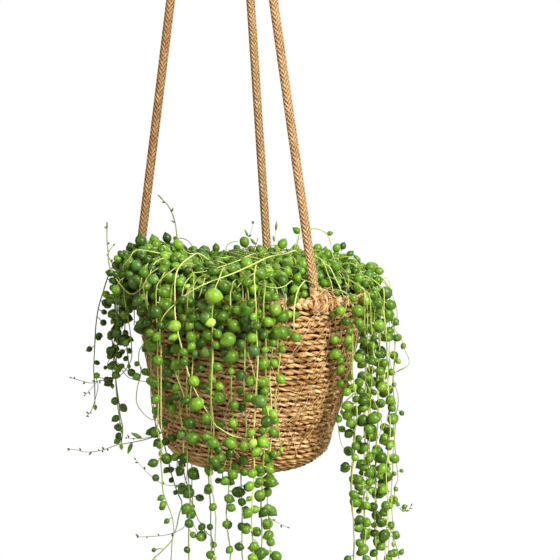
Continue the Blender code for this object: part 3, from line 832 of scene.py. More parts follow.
skin = blend("MIX", maths("MULTIPLY", between(local.outputs["Z"], 0.98, 1.10), 0.7), skin,
             (0.20, 0.17, 0.05))
# Painted light and shade: the colour is scaled by the lightness in the tint, which is set darker away from the light
# and deep in the mound, and lighter where the light falls.
shade = node("MapRange")
shade.inputs["To Min"].default_value = 0.46
shade.inputs["To Max"].default_value = 1.42
links.new(own.outputs["Y"], shade.inputs["Value"])
grey = node("CombineColor")
for channel in ("Red", "Green", "Blue"):
    links.new(shade.outputs["Result"], grey.inputs[channel])
skin = blend("MULTIPLY", 1.0, skin, grey.outputs["Color"])
links.new(skin, shader.inputs["Base Color"])
shader.inputs["Roughness"].default_value = 0.36
shader.inputs["Specular IOR Level"].default_value = 0.40
shader.inputs["Subsurface Weight"].default_value = 0.22
shader.inputs["Subsurface Radius"].default_value = (0.45, 1.0, 0.10)
shader.inputs["Subsurface Scale"].default_value = 0.0022

stem_skin = bpy.data.materials.new("pale_stem")
stem_skin.use_nodes = True
nodes, links = stem_skin.node_tree.nodes, stem_skin.node_tree.links
shader = nodes["Principled BSDF"]
tint = node("Attribute")
tint.attribute_name = "tint"
grain = node("Attribute")
grain.attribute_name = "grain"
own = node("SeparateXYZ")
links.new(tint.outputs["Vector"], own.inputs["Vector"])
cloud = node("TexNoise", Scale=130.0, Detail=1.0)
links.new(grain.outputs["Vector"], cloud.inputs["Vector"])
tone = maths("ADD", own.outputs["X"], maths("MULTIPLY", maths("SUBTRACT", cloud.outputs["Fac"], 0.5), 0.5))
greens = node("ValToRGB")
for stop, (place, colour) in enumerate((
        (0.0, (0.080, 0.095, 0.020)), (0.45, (0.240, 0.310, 0.055)), (1.0, (0.600, 0.690, 0.220)))):
    ramp = greens.color_ramp
    point = ramp.elements[stop] if stop < 2 else ramp.elements.new(place)
    point.position = place
    point.color = (*colour, 1.0)
links.new(tone, greens.inputs["Fac"])
links.new(greens.outputs["Color"], shader.inputs["Base Color"])
shader.inputs["Roughness"].default_value = 0.5


# The mound
# Over the soil the stems lie in a mat as wide as the basket. The pearls on them stand
# close together, and the mat sags over the edge wherever nothing holds it back.

soil_height = -0.016
edge_height = -edge_radius
hang_radius = 0.1140          # how far out the strings hang that pass over the edge
mound_power = 2.9
bare_middle, bare_half = -50.0, 18.0
to_upright = basket_frame.inverted()
upright_turn, upright_move = np.array(to_upright.to_3x3()), np.array(to_upright.translation)
basket_turn = np.array(basket_frame.to_3x3())


def upright(points):
    """Points where the basket hangs, put as in the upright basket."""
    return np.asarray(points) @ upright_turn.T + upright_move


def bareness(bearing):
    """1 beside the near rope, where the edge of the basket shows, and 0 elsewhere."""
    away = (np.degrees(bearing) - bare_middle + 180.0) % 360.0 - 180.0
    return np.exp(-(away / bare_half) ** 4)


def mound_reach(bearing):
    """How far out the mound reaches in a direction."""
    right = 0.5 + 0.5 * np.cos(bearing)
    return 0.1065 - 0.0060 * right - 0.0175 * bareness(bearing)


def mound_top(x):
    """How high the mound stands over the edge: level, with a hump by each outer rope."""
    return (0.0205 + 0.0215 * np.exp(-((x + 0.092) / 0.030) ** 2)
            + 0.0070 * np.exp(-((x - 0.062) / 0.028) ** 2))


def plant_depth(points, grow):
    """Below 1 inside the mound or the hanging strings, above 1 outside them."""
    local = upright(points)
    bearing = np.arctan2(local[:, 1], local[:, 0])
    out, height = np.hypot(local[:, 0], local[:, 1]), local[:, 2] + 0.004
    reach, top = mound_reach(bearing), mound_top(local[:, 0])
    mound = ((out / (reach + grow)) ** mound_power
             + (np.maximum(height, 0.0) / (top + 0.004 + grow)) ** mound_power)
    bare = bareness(bearing)
    hang = hang_radius * (1 - bare) + (rim_radius - 0.187 * np.maximum(-height, 0.0) + 0.008) * bare
    return np.where(height > 0.0, mound, (out / (hang + grow)) ** mound_power)


sight_steps = np.arange(stand_off - 0.20, stand_off + 0.20, 0.0008)
ahead = np.array((0.0, math.cos(look_down), -math.sin(look_down)))
overhead = np.array((0.0, math.sin(look_down), math.cos(look_down)))


def sight_ray(x, y):
    """The way from the eye through a place of the picture."""
    return ahead + np.array((1.0, 0.0, 0.0)) * (x - half_frame) / focal + overhead * (half_frame - y) / focal


def seen_at(x, y, grow=0.0):
    """The point of the plant that is seen at a place of the picture, or, beside the
    plant, the point that comes nearest to it."""
    points = np.array(eye) + sight_steps[:, None] * sight_ray(x, y)
    for more in (0.0, 0.003, 0.006, 0.009, 0.012):
        depth = plant_depth(points, grow + more)
        inside = np.nonzero(depth < 1.0)[0]
        if len(inside):
            return points[inside[0]]
    return points[np.argmin(depth)]


def picture_place(point):
    """Where a point is seen in the picture."""
    away = np.asarray(point) - np.array(eye)
    depth = away @ ahead
    return half_frame + focal * away[0] / depth, half_frame - focal * (away @ overhead) / depth


class Room:
    """What the pearls keep clear of: one another, the stems, the basket and the ropes."""

    def __init__(self):
        self.cells = {}
        self.ropes = [(rope_route(name)[0], rope_route(name)[166]) for name in rope_feet]
        self.lumps = [by_rim(edge_centre, degrees + aside, -0.002)
                      for degrees in rope_feet.values() for aside in (-3.0, 2.0, 7.0)]

    def key(self, place):
        return tuple(int(math.floor(c / 0.012)) for c in place)

    def is_free(self, place, radius, squeeze=0.93):
        local = upright_turn @ place + upright_move
        out, depth = math.hypot(local[0], local[1]), -local[2]
        need = radius * squeeze
        if math.hypot(out - edge_centre, local[2] + edge_radius) < edge_radius + need:
            return False
        if 0.0 < depth < basket_depth and out > 0.074 and out < wall_radius(depth) + need:
            return False
        if out < 0.082 and depth > 0.010:
            return False
        if any(np.linalg.norm(place - lump) < 0.0070 + need for lump in self.lumps):
            return False
        for low, high in self.ropes:
            run = high - low
            share = min(max(np.dot(place - low, run) / np.dot(run, run), 0.0), 1.0)
            off = place - low - run * share
            if np.linalg.norm(off) < rope_radius + need:
                return False
            if low[1] < -0.05 and abs(off[0]) < rope_radius + need and off[1] < 0.0 and place[2] > low[2] - 0.012:
                return False
        a, b, c = self.key(place)
        for i in (a - 1, a, a + 1):
            for j in (b - 1, b, b + 1):
                for k in (c - 1, c, c + 1):
                    for x, y, z, r in self.cells.get((i, j, k), ()):
                        gap = (radius + r) * squeeze
                        if (x - place[0]) ** 2 + (y - place[1]) ** 2 + (z - place[2]) ** 2 < gap * gap:
                            return False
        return True

    def take(self, place, radius):
        self.cells.setdefault(self.key(place), []).append((*place, radius))


room = Room()


def pearl_form(sides, rows):
    """A round leaf of radius 1, stalk end down."""
    down = np.radians(np.linspace(0.0, 180.0, rows + 2)[1:-1])
    ring = np.arange(sides) * math.tau / sides
    shape = np.stack([np.sin(down)[:, None] * np.cos(ring), np.sin(down)[:, None] * np.sin(ring),
                      np.broadcast_to(-np.cos(down)[:, None], (rows, sides))], -1).reshape(-1, 3)
    shape = np.vstack([shape, [(0.0, 0.0, -1.0), (0.0, 0.0, 1.0)]])
    i, j = np.arange(rows - 1)[:, None], np.arange(sides)[None, :]
    beside = (j + 1) % sides
    quads = np.stack([i * sides + j, i * sides + beside, (i + 1) * sides + beside,
                      (i + 1) * sides + j], -1).reshape(-1, 4)
    j, base, tip = np.arange(sides), rows * sides, rows * sides + 1
    beside, top = (j + 1) % sides, (rows - 1) * sides
    fans = np.vstack([np.stack([np.full(sides, base), beside, j], -1),
                      np.stack([np.full(sides, tip), top + j, top + beside], -1)])
    return shape, quads, fans


pearl_forms = {"large": pearl_form(12, 7), "full": pearl_form(10, 6), "small": pearl_form(8, 5),
               "bud": pearl_form(6, 3)}


class Growth(Skein):
    """A stem with its pearls and buds."""

    def __init__(self):
        super().__init__()
        self.rows = {key: [] for key in pearl_forms}

    def put(self, root, direction, radius, stalk, point, length, tint):
        """A leaf on a stalk, from a place on a stem."""
        form = ("large" if radius > 0.0043 else "full" if radius > 0.0026
                else "small" if radius > 0.0015 else "bud")
        self.rows[form].append((*root, *direction, radius, stalk, point, length, *tint))

    def stem(self, path, thick, thin, tone, sides=5):
        """A stem that thins to its tip, a little uneven at its joints."""
        count = len(path)
        radius = thick + (thin - thick) * np.linspace(0.0, 1.0, count) ** 1.5
        radius = radius * (1.0 + wander(count, max(3, count // 3), 0.12))
        tones = np.clip(tone + wander(count, max(3, count // 8), 0.15), 0.0, 1.0)
        self.strand(path, radius, sides, np.column_stack([tones, tones, tones]), slot=1,
                    start=float(thick * 1e5))

    def set_leaves(self):
        """Every leaf turns its clear line to the light and joins the mesh."""
        for form, rows in self.rows.items():
            if not rows:
                continue
            rows = np.array(rows)
            shape, quads, fans = pearl_forms[form]
            root, way = rows[:, 0:3], unit(rows[:, 3:6])
            radius, stalk, point, length = rows[:, 6], rows[:, 7], rows[:, 8], rows[:, 9]
            tint = rows[:, 10:13]
            count, size = len(rows), len(shape)
            above = np.array((0.0, -0.35, 1.0)) + 0.6 * np.sin(rows[:, 0:3] * 9000.0)
            side = unit(above - (above * way).sum(1)[:, None] * way)
            third = np.cross(way, side)
            z = np.broadcast_to(shape[:, 2], (count, size))
            upper = np.maximum(z, 0.0)
            pinch = 1.0 - point[:, None] * 0.40 * upper ** 2.5 - 0.05 * np.minimum(z, 0.0) ** 2
            x, y = shape[:, 0] * pinch, shape[:, 1] * pinch
            tall = length[:, None] * (z + point[:, None] * 0.22 * upper ** 4)
            tall = np.where(z > 0.999, tall + 0.08 + 0.16 * point[:, None], tall)
            grain = np.stack([x, y, z + 0.12 * (z > 0.999)], -1)
            centre = root + way * (stalk + radius * length)[:, None]
            points = centre[:, None, :] + radius[:, None, None] * (
                x[:, :, None] * side[:, None, :] + y[:, :, None] * third[:, None, :]
                + tall[:, :, None] * way[:, None, :])
            shift = (np.arange(count) * size)[:, None, None]
            self.add(points, [(quads + shift).reshape(-1, 4), (fans + shift).reshape(-1, 3)],
                     grain, np.repeat(tint, size, 0), 0)
            ring = np.arange(3) * math.tau / 3
            spoke = (np.cos(ring)[None, :, None] * side[:, None, :]
                     + np.sin(ring)[None, :, None] * third[:, None, :])
            foot = root[:, None, :] + spoke * np.minimum(radius * 0.10, 0.0004)[:, None, None]
            head = (root + way * (stalk + radius * 0.10)[:, None])[:, None, :]
            head = head + spoke * np.minimum(radius * 0.20, 0.0007)[:, None, None]
            points = np.concatenate([foot, head], 1)
            j = np.arange(3)
            stalk_faces = np.stack([j, (j + 1) % 3, 3 + (j + 1) % 3, 3 + j], -1)
            shift = (np.arange(count) * 6)[:, None, None]
            pale = np.column_stack([0.45 + 0.4 * tint[:, 0], tint[:, 1], tint[:, 2]])
            self.add(points, [(stalk_faces + shift).reshape(-1, 4)], points.reshape(-1, 3),
                     np.repeat(pale, 6, 0), 1)

    def finish(self, name, *nodes_replaced):
        self.set_leaves()
        piece = self.build(name, waxy, stem_skin)
        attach(piece, "root")
        for solid in nodes_replaced:
            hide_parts(solid)


def pearl_tint(draw, fresh, light):
    """A pearl's own green: mostly deep, some fresh, a few with a blue-grey bloom; and how light
    it is, which carries the painted light and shade that it is given.
    """
    hue = min(max(draw.gauss(0.40 + 0.35 * fresh, 0.15), 0.02), 0.98)
    bloom = draw.uniform(0.5, 1.0) if draw.random() < 0.16 else draw.uniform(0.0, 0.15)
    return hue, min(max(light + draw.gauss(0.0, 0.12), 0.0), 1.0), bloom


def bear(growth, path, draw, spacing, size, first=0.0, fresh=0.0, light=0.5, tip=0.6, droop=0.35,
         turned=0.0, may_stand=None):
    """Pearls by turns on all sides of a stem, smaller towards its tip."""
    along = headings(path)
    run = np.concatenate([[0.0], np.cumsum(np.linalg.norm(np.diff(path, axis=0), axis=1))])
    turn = draw.uniform(0.0, math.tau)
    place = first + draw.uniform(0.0, spacing)
    while place < run[-1]:
        share = place / run[-1]
        at = min(int(np.searchsorted(run, place)), len(path) - 1)
        root, way = path[at], along[at]
        radius = size * (1.0 - (1.0 - tip) * share ** 2.2) * draw.uniform(0.80, 1.22)
        aside = unit(np.cross(way, (0.31, 0.52, 0.79)))
        other = np.cross(way, aside)
        for attempt in range(7):
            angle = turn + attempt * 0.9
            push = math.cos(angle) * aside + math.sin(angle) * other
            push = push * (1.0, 1.0 - abs(turned), 1.0) + np.array((0.0, turned, -droop))
            direction = unit(push + 0.35 * way * draw.uniform(-1.0, 1.0))
            stalk = radius * 0.18 + draw.uniform(0.0008, 0.0026)
            length = draw.uniform(0.98, 1.18)
            centre = root + direction * (stalk + radius * length)
            if room.is_free(centre, radius) and (may_stand is None or may_stand(centre, radius)):
                room.take(centre, radius)
                growth.put(root, direction, radius, stalk, max(0.0, min(1.0, draw.gauss(0.40, 0.28))),
                           length, pearl_tint(draw, fresh, light))
                break
        turn += 2.4 + draw.uniform(-0.5, 0.5)
        place += spacing * draw.uniform(0.65, 1.4) * (1.0 + 0.35 * share)


def tip_leaves(growth, path, draw, length, tone):
    """The thin end of a stem: tiny folded leaves, each by turns."""
    along = headings(path)
    run = np.concatenate([[0.0], np.cumsum(np.linalg.norm(np.diff(path, axis=0), axis=1))])
    place, side = run[-1] - length, 1.0
    while place < run[-1]:
        at = min(int(np.searchsorted(run, place)), len(path) - 1)
        aside = unit(np.cross(along[at], (0.2, 1.0, 0.1))) * side
        direction = unit(aside * 0.8 + along[at] * draw.uniform(0.4, 1.2))
        growth.put(path[at], direction, draw.uniform(0.0005, 0.0008), 0.0002, 1.0,
                   draw.uniform(1.5, 2.2), (tone, 0.25, 0.0))
        side = -side
        place += draw.uniform(0.007, 0.012)
    growth.put(path[-1], along[-1], 0.0006, 0.0, 1.0, 2.0, (tone, 0.4, 0.0))


# The trailing strings
# Each stem roots in the soil, arches over the edge and hangs straight down under its own
# weight. They are planted in three layers, and the outer ones pass over the inner ones.

layers = {"low": (0.0680, 0.0060, 0.1025), "mid": (0.0640, 0.0150, 0.1145),
          "high": (0.0600, 0.0240, 0.1265)}
strings = {
    "left": [(176, "high", 0.098), (168, "mid", 0.082), (197, "low", 0.142),
             (160, "low", 0.070), (206, "mid", 0.104)],
    "front": [(-150, "low", 0.095), (-137, "mid", 0.118), (-129, "low", 0.232),
              (-123, "high", 0.238), (-119, "low", 0.140), (-113, "mid", 0.242),
              (-107, "low", 0.224), (-102, "high", 0.190), (-97, "mid", 0.246),
              (-92, "low", 0.222), (-88, "high", 0.250), (-83, "mid", 0.238),
              (-79, "low", 0.214), (-74, "low", 0.112)],
    "right": [(-42, "low", 0.236), (-37, "mid", 0.150), (-31, "low", 0.246),
              (-23, "mid", 0.232), (-14, "low", 0.252), (-5, "mid", 0.206),
              (4, "low", 0.244), (13, "mid", 0.240), (23, "low", 0.215), (33, "mid", 0.186)],
    "back": [(43, "low", 0.112), (55, "mid", 0.092), (67, "low", 0.104), (94, "mid", 0.140),
             (106, "low", 0.180), (118, "mid", 0.200), (130, "low", 0.165), (145, "mid", 0.120)],
}


def string_route(degrees, layer, drop, draw):
    """From the root over the edge and straight down."""
    root, crest, reach = layers[layer]
    route = [by_rim(root, degrees, soil_height - 0.007), by_rim(root, degrees, soil_height + 0.003)]
    for turn in (152.0, 116.0, 80.0, 44.0, 8.0):
        angle = math.radians(turn)
        side = edge_centre - root if turn > 90.0 else reach - edge_centre
        route.append(by_rim(edge_centre + side * math.cos(angle), degrees,
                            edge_height + (crest - edge_height) * math.sin(angle)))
    start, tip_height = route[-1], -0.615 - drop
    steps = max(2, round((start[2] - tip_height) / 0.075))
    phase, sway = draw.uniform(0.0, math.tau), draw.uniform(0.0010, 0.0022)
    for i in range(1, steps + 1):
        share = i / steps
        swing = sway * math.sin(share * 2.2 * math.pi + phase) - sway * math.sin(phase)
        turn = math.radians(degrees) + math.pi / 2 + phase
        route.append(np.array((start[0] + swing * math.cos(turn), start[1] + swing * math.sin(turn),
                               start[2] + (tip_height - start[2]) * share)))
    return route


# how far a string stands aside where it starts to hang, and further down
leans = {"string_left_01": (0.011, -0.001), "string_left_03": (0.0, -0.006),
         "string_left_04": (0.0, -0.007), "string_front_01": (0.0, 0.012),
         "string_front_02": (0.0, 0.012), "string_front_10": (0.0, -0.002),
         "string_front_12": (0.0, -0.003), "string_front_13": (0.0, -0.005),
         "string_front_14": (0.0, -0.008), "string_right_01": (0.0, 0.002),
         "string_right_06": (-0.006, 0.0), "string_back_08": (0.0, 0.015)}
# the strings that sway as they hang: the places of the picture that their lower part passes
tails = {
    "string_left_03": "112 330, 113 347, 115.5 365, 116 382, 119 404, 120 415, 122.5 426, 122.5 434, 121 444",
    "string_front_04": "162 446, 160.5 457, 162 475, 163 492, 168 506, 172.5 518, 173.7 532, 172 540,"
                       " 163 550, 154 558",
    "string_front_03": "164.5 445, 169 463, 172.5 478, 178 494, 182 503, 179 515, 176 529, 172.5 538, 171 560",
    "string_front_05": "183 464, 185 478, 187.5 486, 191 501, 196.6 516, 200 523, 206 532, 212.7 540, 210 562"}


def picture_places(text):
    return [tuple(float(number) for number in pair.split()) for pair in text.split(",")]


def straight_behind(x, y, far):
    """The point at a place of the picture that is as far back as another."""
    ray = sight_ray(x, y)
    return np.array(eye) + ray * (far - eye[1]) / ray[1]


planting = random.Random(11)
stem_paths, growths = {}, {}
for place, rows in strings.items():
    for number, row in enumerate(rows, 1):
        name = "string_%s_%02d" % (place, number)
        path = smooth(string_route(*row, planting), 0.0034)
        count = len(path)
        drift = np.column_stack([wander(count, max(4, count // 8), 0.0019)
                                 + wander(count, max(4, count // 4), 0.0005) for _ in range(3)])
        below = np.maximum(0.0, path[12, 2] - path[:, 2])
        high, low = leans.get(name, (0.0, 0.0))
        drift[:, 0] += high * np.exp(-(below / 0.030) ** 2) + low * (1.0 - np.exp(-below / 0.030))
        drift *= np.clip(np.arange(count) / 12.0 - 0.6, 0.0, 1.0)[:, None]
        path = path + drift
        if name in tails:
            knots = [straight_behind(x, y, path[-1, 1]) for x, y in picture_places(tails[name])]
            path = path[path[:, 2] > knots[0][2] + 0.012]
            path = smooth(np.vstack([path[:-1:5], path[-1:], knots]), 0.0034)
        stem_paths[name] = path


# The runners
# Long young stems that wander over the mound and beside the strings. They carry few
# pearls, and their thin ends carry tiny folded leaves. Each was placed by the picture.

runners = {
    # name: (stands clear by, thickness, paleness, pearl every, pearl size, leafy tip), and
    # the places of the picture that it passes
    "over_mound": (0.0095, 0.00095, 0.95, 0.0, 0.0, 0.0,
                   "296 251, 285 254, 269 257, 254 264, 234 273, 205 284, 187 294, 175 304, 165 314,"
                   " 160 326, 161 352, 161 416, 162 432"),
    "to_front": (0.0115, 0.00095, 1.0, 0.0, 0.0, 0.0,
                 "200 254, 192 256, 179 267, 175 282, 175 302, 175 314, 178 333, 183 352, 192 384,"
                 " 214 423, 221 429, 233 436, 250 439"),
    "across_mound": (0.0075, 0.0008, 0.9, 0.0, 0.0, 0.0, "255 254, 240 260, 226 265, 207 271, 192 273"),
    "shoulder": (0.006, 0.0007, 0.9, 0.0, 0.0, 0.0, "176 242, 188 253, 198 254, 204 263"),
    "left_arm": (0.007, 0.0008, 0.85, 0.0, 0.0, 0.0, "137 250, 129 259, 121 268"),
    "left_loop": (0.009, 0.0007, 0.9, 0.0, 0.0, 0.0, "111 268, 117 280, 126 291, 132 294, 140 290,"
                  " 144 284, 149 275, 158 268"),
    "left_bow": (0.001, 0.0006, 0.35, 0.0, 0.0, 0.030,
                 "126 308, 129.5 327, 131.5 346, 131 360, 123 373, 113 379, 98 381, 90 383, 72 378"),
    "left_branch": (0.001, 0.0005, 0.3, 0.0, 0.0, 0.0, "119 365, 128 377, 141 381, 151 382"),
    "left_end": (0.001, 0.0005, 0.3, 0.0, 0.0, 0.022, "97 378, 98 388, 92 409, 87 416"),
    "left_twig": (0.001, 0.0004, 0.3, 0.0, 0.0, 0.012, "98 381, 90 390, 85 395"),
    "big_loop": (0.004, 0.0006, 0.35, 0.0, 0.0, 0.0,
                 "152 337, 141 347, 138.5 359, 141 372, 137 389.5, 137 403.6, 145 415, 154 420,"
                 " 166.5 419, 174 414"),
    "low_arc": (0.002, 0.0006, 0.6, 0.0, 0.0, 0.055,
                "161 433, 147 439, 131 442.5, 117 445, 106 449, 98 451, 86 452, 77 450, 70 449"),
    "low_twig": (0.003, 0.0005, 0.5, 0.0, 0.0, 0.012, "160 434, 150 437, 140 438.5, 127 438"),
    "wisp_a": (0.004, 0.0004, 0.3, 0.0, 0.0, 0.045,
               "185 483, 175 485.5, 163 484, 152 477, 143 468, 136 460"),
    "wisp_b": (0.003, 0.0004, 0.3, 0.0, 0.0, 0.035, "184 527, 170 534, 157.6 536, 139 537"),
    "wisp_c": (0.006, 0.0004, 0.3, 0.0, 0.0, 0.015, "262 508, 268.5 517, 276 522, 287 527"),
    "fork": (0.005, 0.0009, 0.9, 0.0, 0.0, 0.0, "305 281, 299 288, 296 297, 294 312, 294 330"),
    "fork_side": (0.004, 0.0007, 0.85, 0.0, 0.0, 0.0, "292 281, 285 286, 277 288, 268 287, 258 283"),
    "low_fork": (0.006, 0.0007, 0.9, 0.0, 0.0, 0.0, "270 422, 266 433, 258 441, 250 440"),
    "front_thread_a": (0.006, 0.0006, 0.9, 0.0, 0.0, 0.0, "207 274, 203 285, 199 298"),
    "front_thread_b": (0.006, 0.0006, 0.85, 0.0, 0.0, 0.0, "195 310, 193 322, 191 333"),
    "front_thread_c": (0.005, 0.0007, 0.8, 0.0, 0.0, 0.0, "190 330, 193 350, 192 375, 189 412"),
    "front_thread_d": (0.003, 0.0006, 0.7, 0.0, 0.0, 0.0, "176 370, 180 385, 184 398, 180 412, 174 424"),
    "front_thread_e": (0.004, 0.0006, 0.75, 0.0, 0.0, 0.0, "213 350, 213 372, 211 398, 212 420"),
    "front_thread_f": (0.004, 0.0006, 0.75, 0.0, 0.0, 0.0, "248 352, 252 366, 256 385, 258 402"),
    "arch": (0.002, 0.0007, 0.8, 0.0, 0.0, 0.0,
             "304 233, 311 229, 318 229, 326.5 233.6, 331 244, 333 256.6, 339 267, 344.6 278.6, 346.6 292,"
             " 346.6 306, 342 321, 341.3 335, 346 359"),
    "right_a": (0.004, 0.0008, 0.9, 0.0, 0.0, 0.0, "316 257.5, 323.6 263, 327.4 273, 331 282, 333 292"),
    "right_b": (0.005, 0.0008, 0.9, 0.0, 0.0, 0.0, "327 265, 335 277.6, 340.8 290, 345.6 301.6"),
    "right_c": (0.002, 0.0006, 0.6, 0.0, 0.0, 0.0,
                "351 256.6, 359 265, 365.7 271, 379 275.7, 386.7 284, 393.4 297.7, 397 309, 397 318"),
    "right_d": (0.006, 0.0007, 0.7, 0.0, 0.0, 0.0, "376 290, 383 311, 385 330, 387.7 349, 391.5 368.5"),
    "right_e": (0.006, 0.0007, 0.8, 0.0, 0.0, 0.0, "361.9 287, 366 300, 367.6 316, 367.6 349, 369.5 374"),
    "right_f": (0.005, 0.0007, 0.8, 0.0, 0.0, 0.0, "350 300, 356 319, 357 335, 354 354, 351 374"),
    "right_curl": (0.003, 0.0005, 0.55, 0.0, 0.0, 0.0,
                   "392.5 324.5, 401 338, 404 348.4, 408.8 359, 407.8 365.7, 397 372"),
    "right_hook": (0.002, 0.0006, 0.6, 0.024, 0.0022, 0.014,
                   "393.5 375, 397.7 394, 398 405, 394 424.5, 394.7 442.7, 396.5 462, 397.7 479,"
                   " 394.7 488.8, 395 502, 400 509, 407.4 511, 411 505.8"),
    "right_tail": (0.001, 0.0006, 0.5, 0.018, 0.0032, 0.0, "383 521.5, 391.7 532, 397.7 551.8, 399 559"),
    "right_thread_a": (0.006, 0.0006, 0.8, 0.0, 0.0, 0.0, "340.8 406, 337 416, 338 424.5, 341 443, 347 452"),
    "right_thread_b": (0.005, 0.0006, 0.8, 0.0, 0.0, 0.0,
                       "351 377, 354 418.5, 353 447.6, 350.5 485, 351.7 509, 354 527.6, 353 559"),
    "right_thread_c": (0.006, 0.0007, 0.85, 0.0, 0.0, 0.0, "384 380, 390 398, 388 415, 382 431"),
    "right_thread_d": (0.004, 0.0006, 0.6, 0.0, 0.0, 0.0, "372 396, 378 410, 382 424, 379 436"),
    "right_thread_e": (0.006, 0.0006, 0.85, 0.0, 0.0, 0.0, "352 470, 354 480, 360 486, 367 484"),
}
top_wisps = {
    "wisp_left": (0.0006, 0.6, "111 270, 108 250, 107 240, 107 225"),
    "wisp_left_side": (0.0005, 0.5, "109 258, 110 250, 113 246"),
    "wisp_rope": (0.0005, 0.2, "178 241, 175 222, 169 207, 160 197"),
    "wisp_rope_side": (0.0005, 0.2, "178 240, 187 240, 193 247"),
    "wisp_bud_a": (0.0004, 0.6, "226 250, 230 243, 238 241"),
    "wisp_bud_b": (0.0003, 0.35, "248 239, 251 232, 253 224"),
    "wisp_bud_c": (0.0004, 0.3, "252 255, 256 245, 258 238"),
    "wisp_bud_d": (0.0004, 0.6, "274 246, 275 237, 277 224"),
    "wisp_bud_e": (0.0004, 0.35, "297 245, 298 238, 300 233"),
    "wisp_bud_f": (0.0004, 0.5, "362 268, 360 262, 356 257"),
}


def into_mound(place, depth=0.020):
    """A place under another, inside the mat."""
    local = upright(place)
    return in_basket(np.array((local[0] * 0.86, local[1] * 0.86, max(local[2] - depth, soil_height))))


for name, (clear, thick, paleness, every, size, leafy, places) in runners.items():
    knots = [seen_at(x, y, clear) for x, y in picture_places(places)]
    local = upright(knots[0])
    if local[2] > -0.012:
        knots.insert(0, into_mound(knots[0] + unit(knots[0] - knots[1]) * 0.012, 0.012))
    else:
        carried = min((np.linalg.norm(path - knots[0], axis=1).min(), key)
                      for key, path in stem_paths.items())[1]
        path = stem_paths[carried]
        nearest = path[max(0, int(np.argmin(np.linalg.norm(path - knots[0], axis=1))) - 3)]
        knots.insert(0, nearest)
    stem_paths["runner_" + name] = smooth(knots, 0.0030)
for name, (thick, paleness, places) in top_wisps.items():
    places = picture_places(places)
    start = seen_at(*places[0])
    knots = [into_mound(start)]
    for x, y in places:
        knots.append(straight_behind(x, y, start[1]))
    stem_paths["runner_" + name] = smooth(knots, 0.0030)
for path in stem_paths.values():
    for place in even(path, 0.0030):
        room.take(place, 0.0008)


# The pearls that the picture shows
# The nearest ones were placed one by one, with their size and their tone. Each grows from the
# closest stem on a stalk of its own, or from the mat where it lies on the mound.

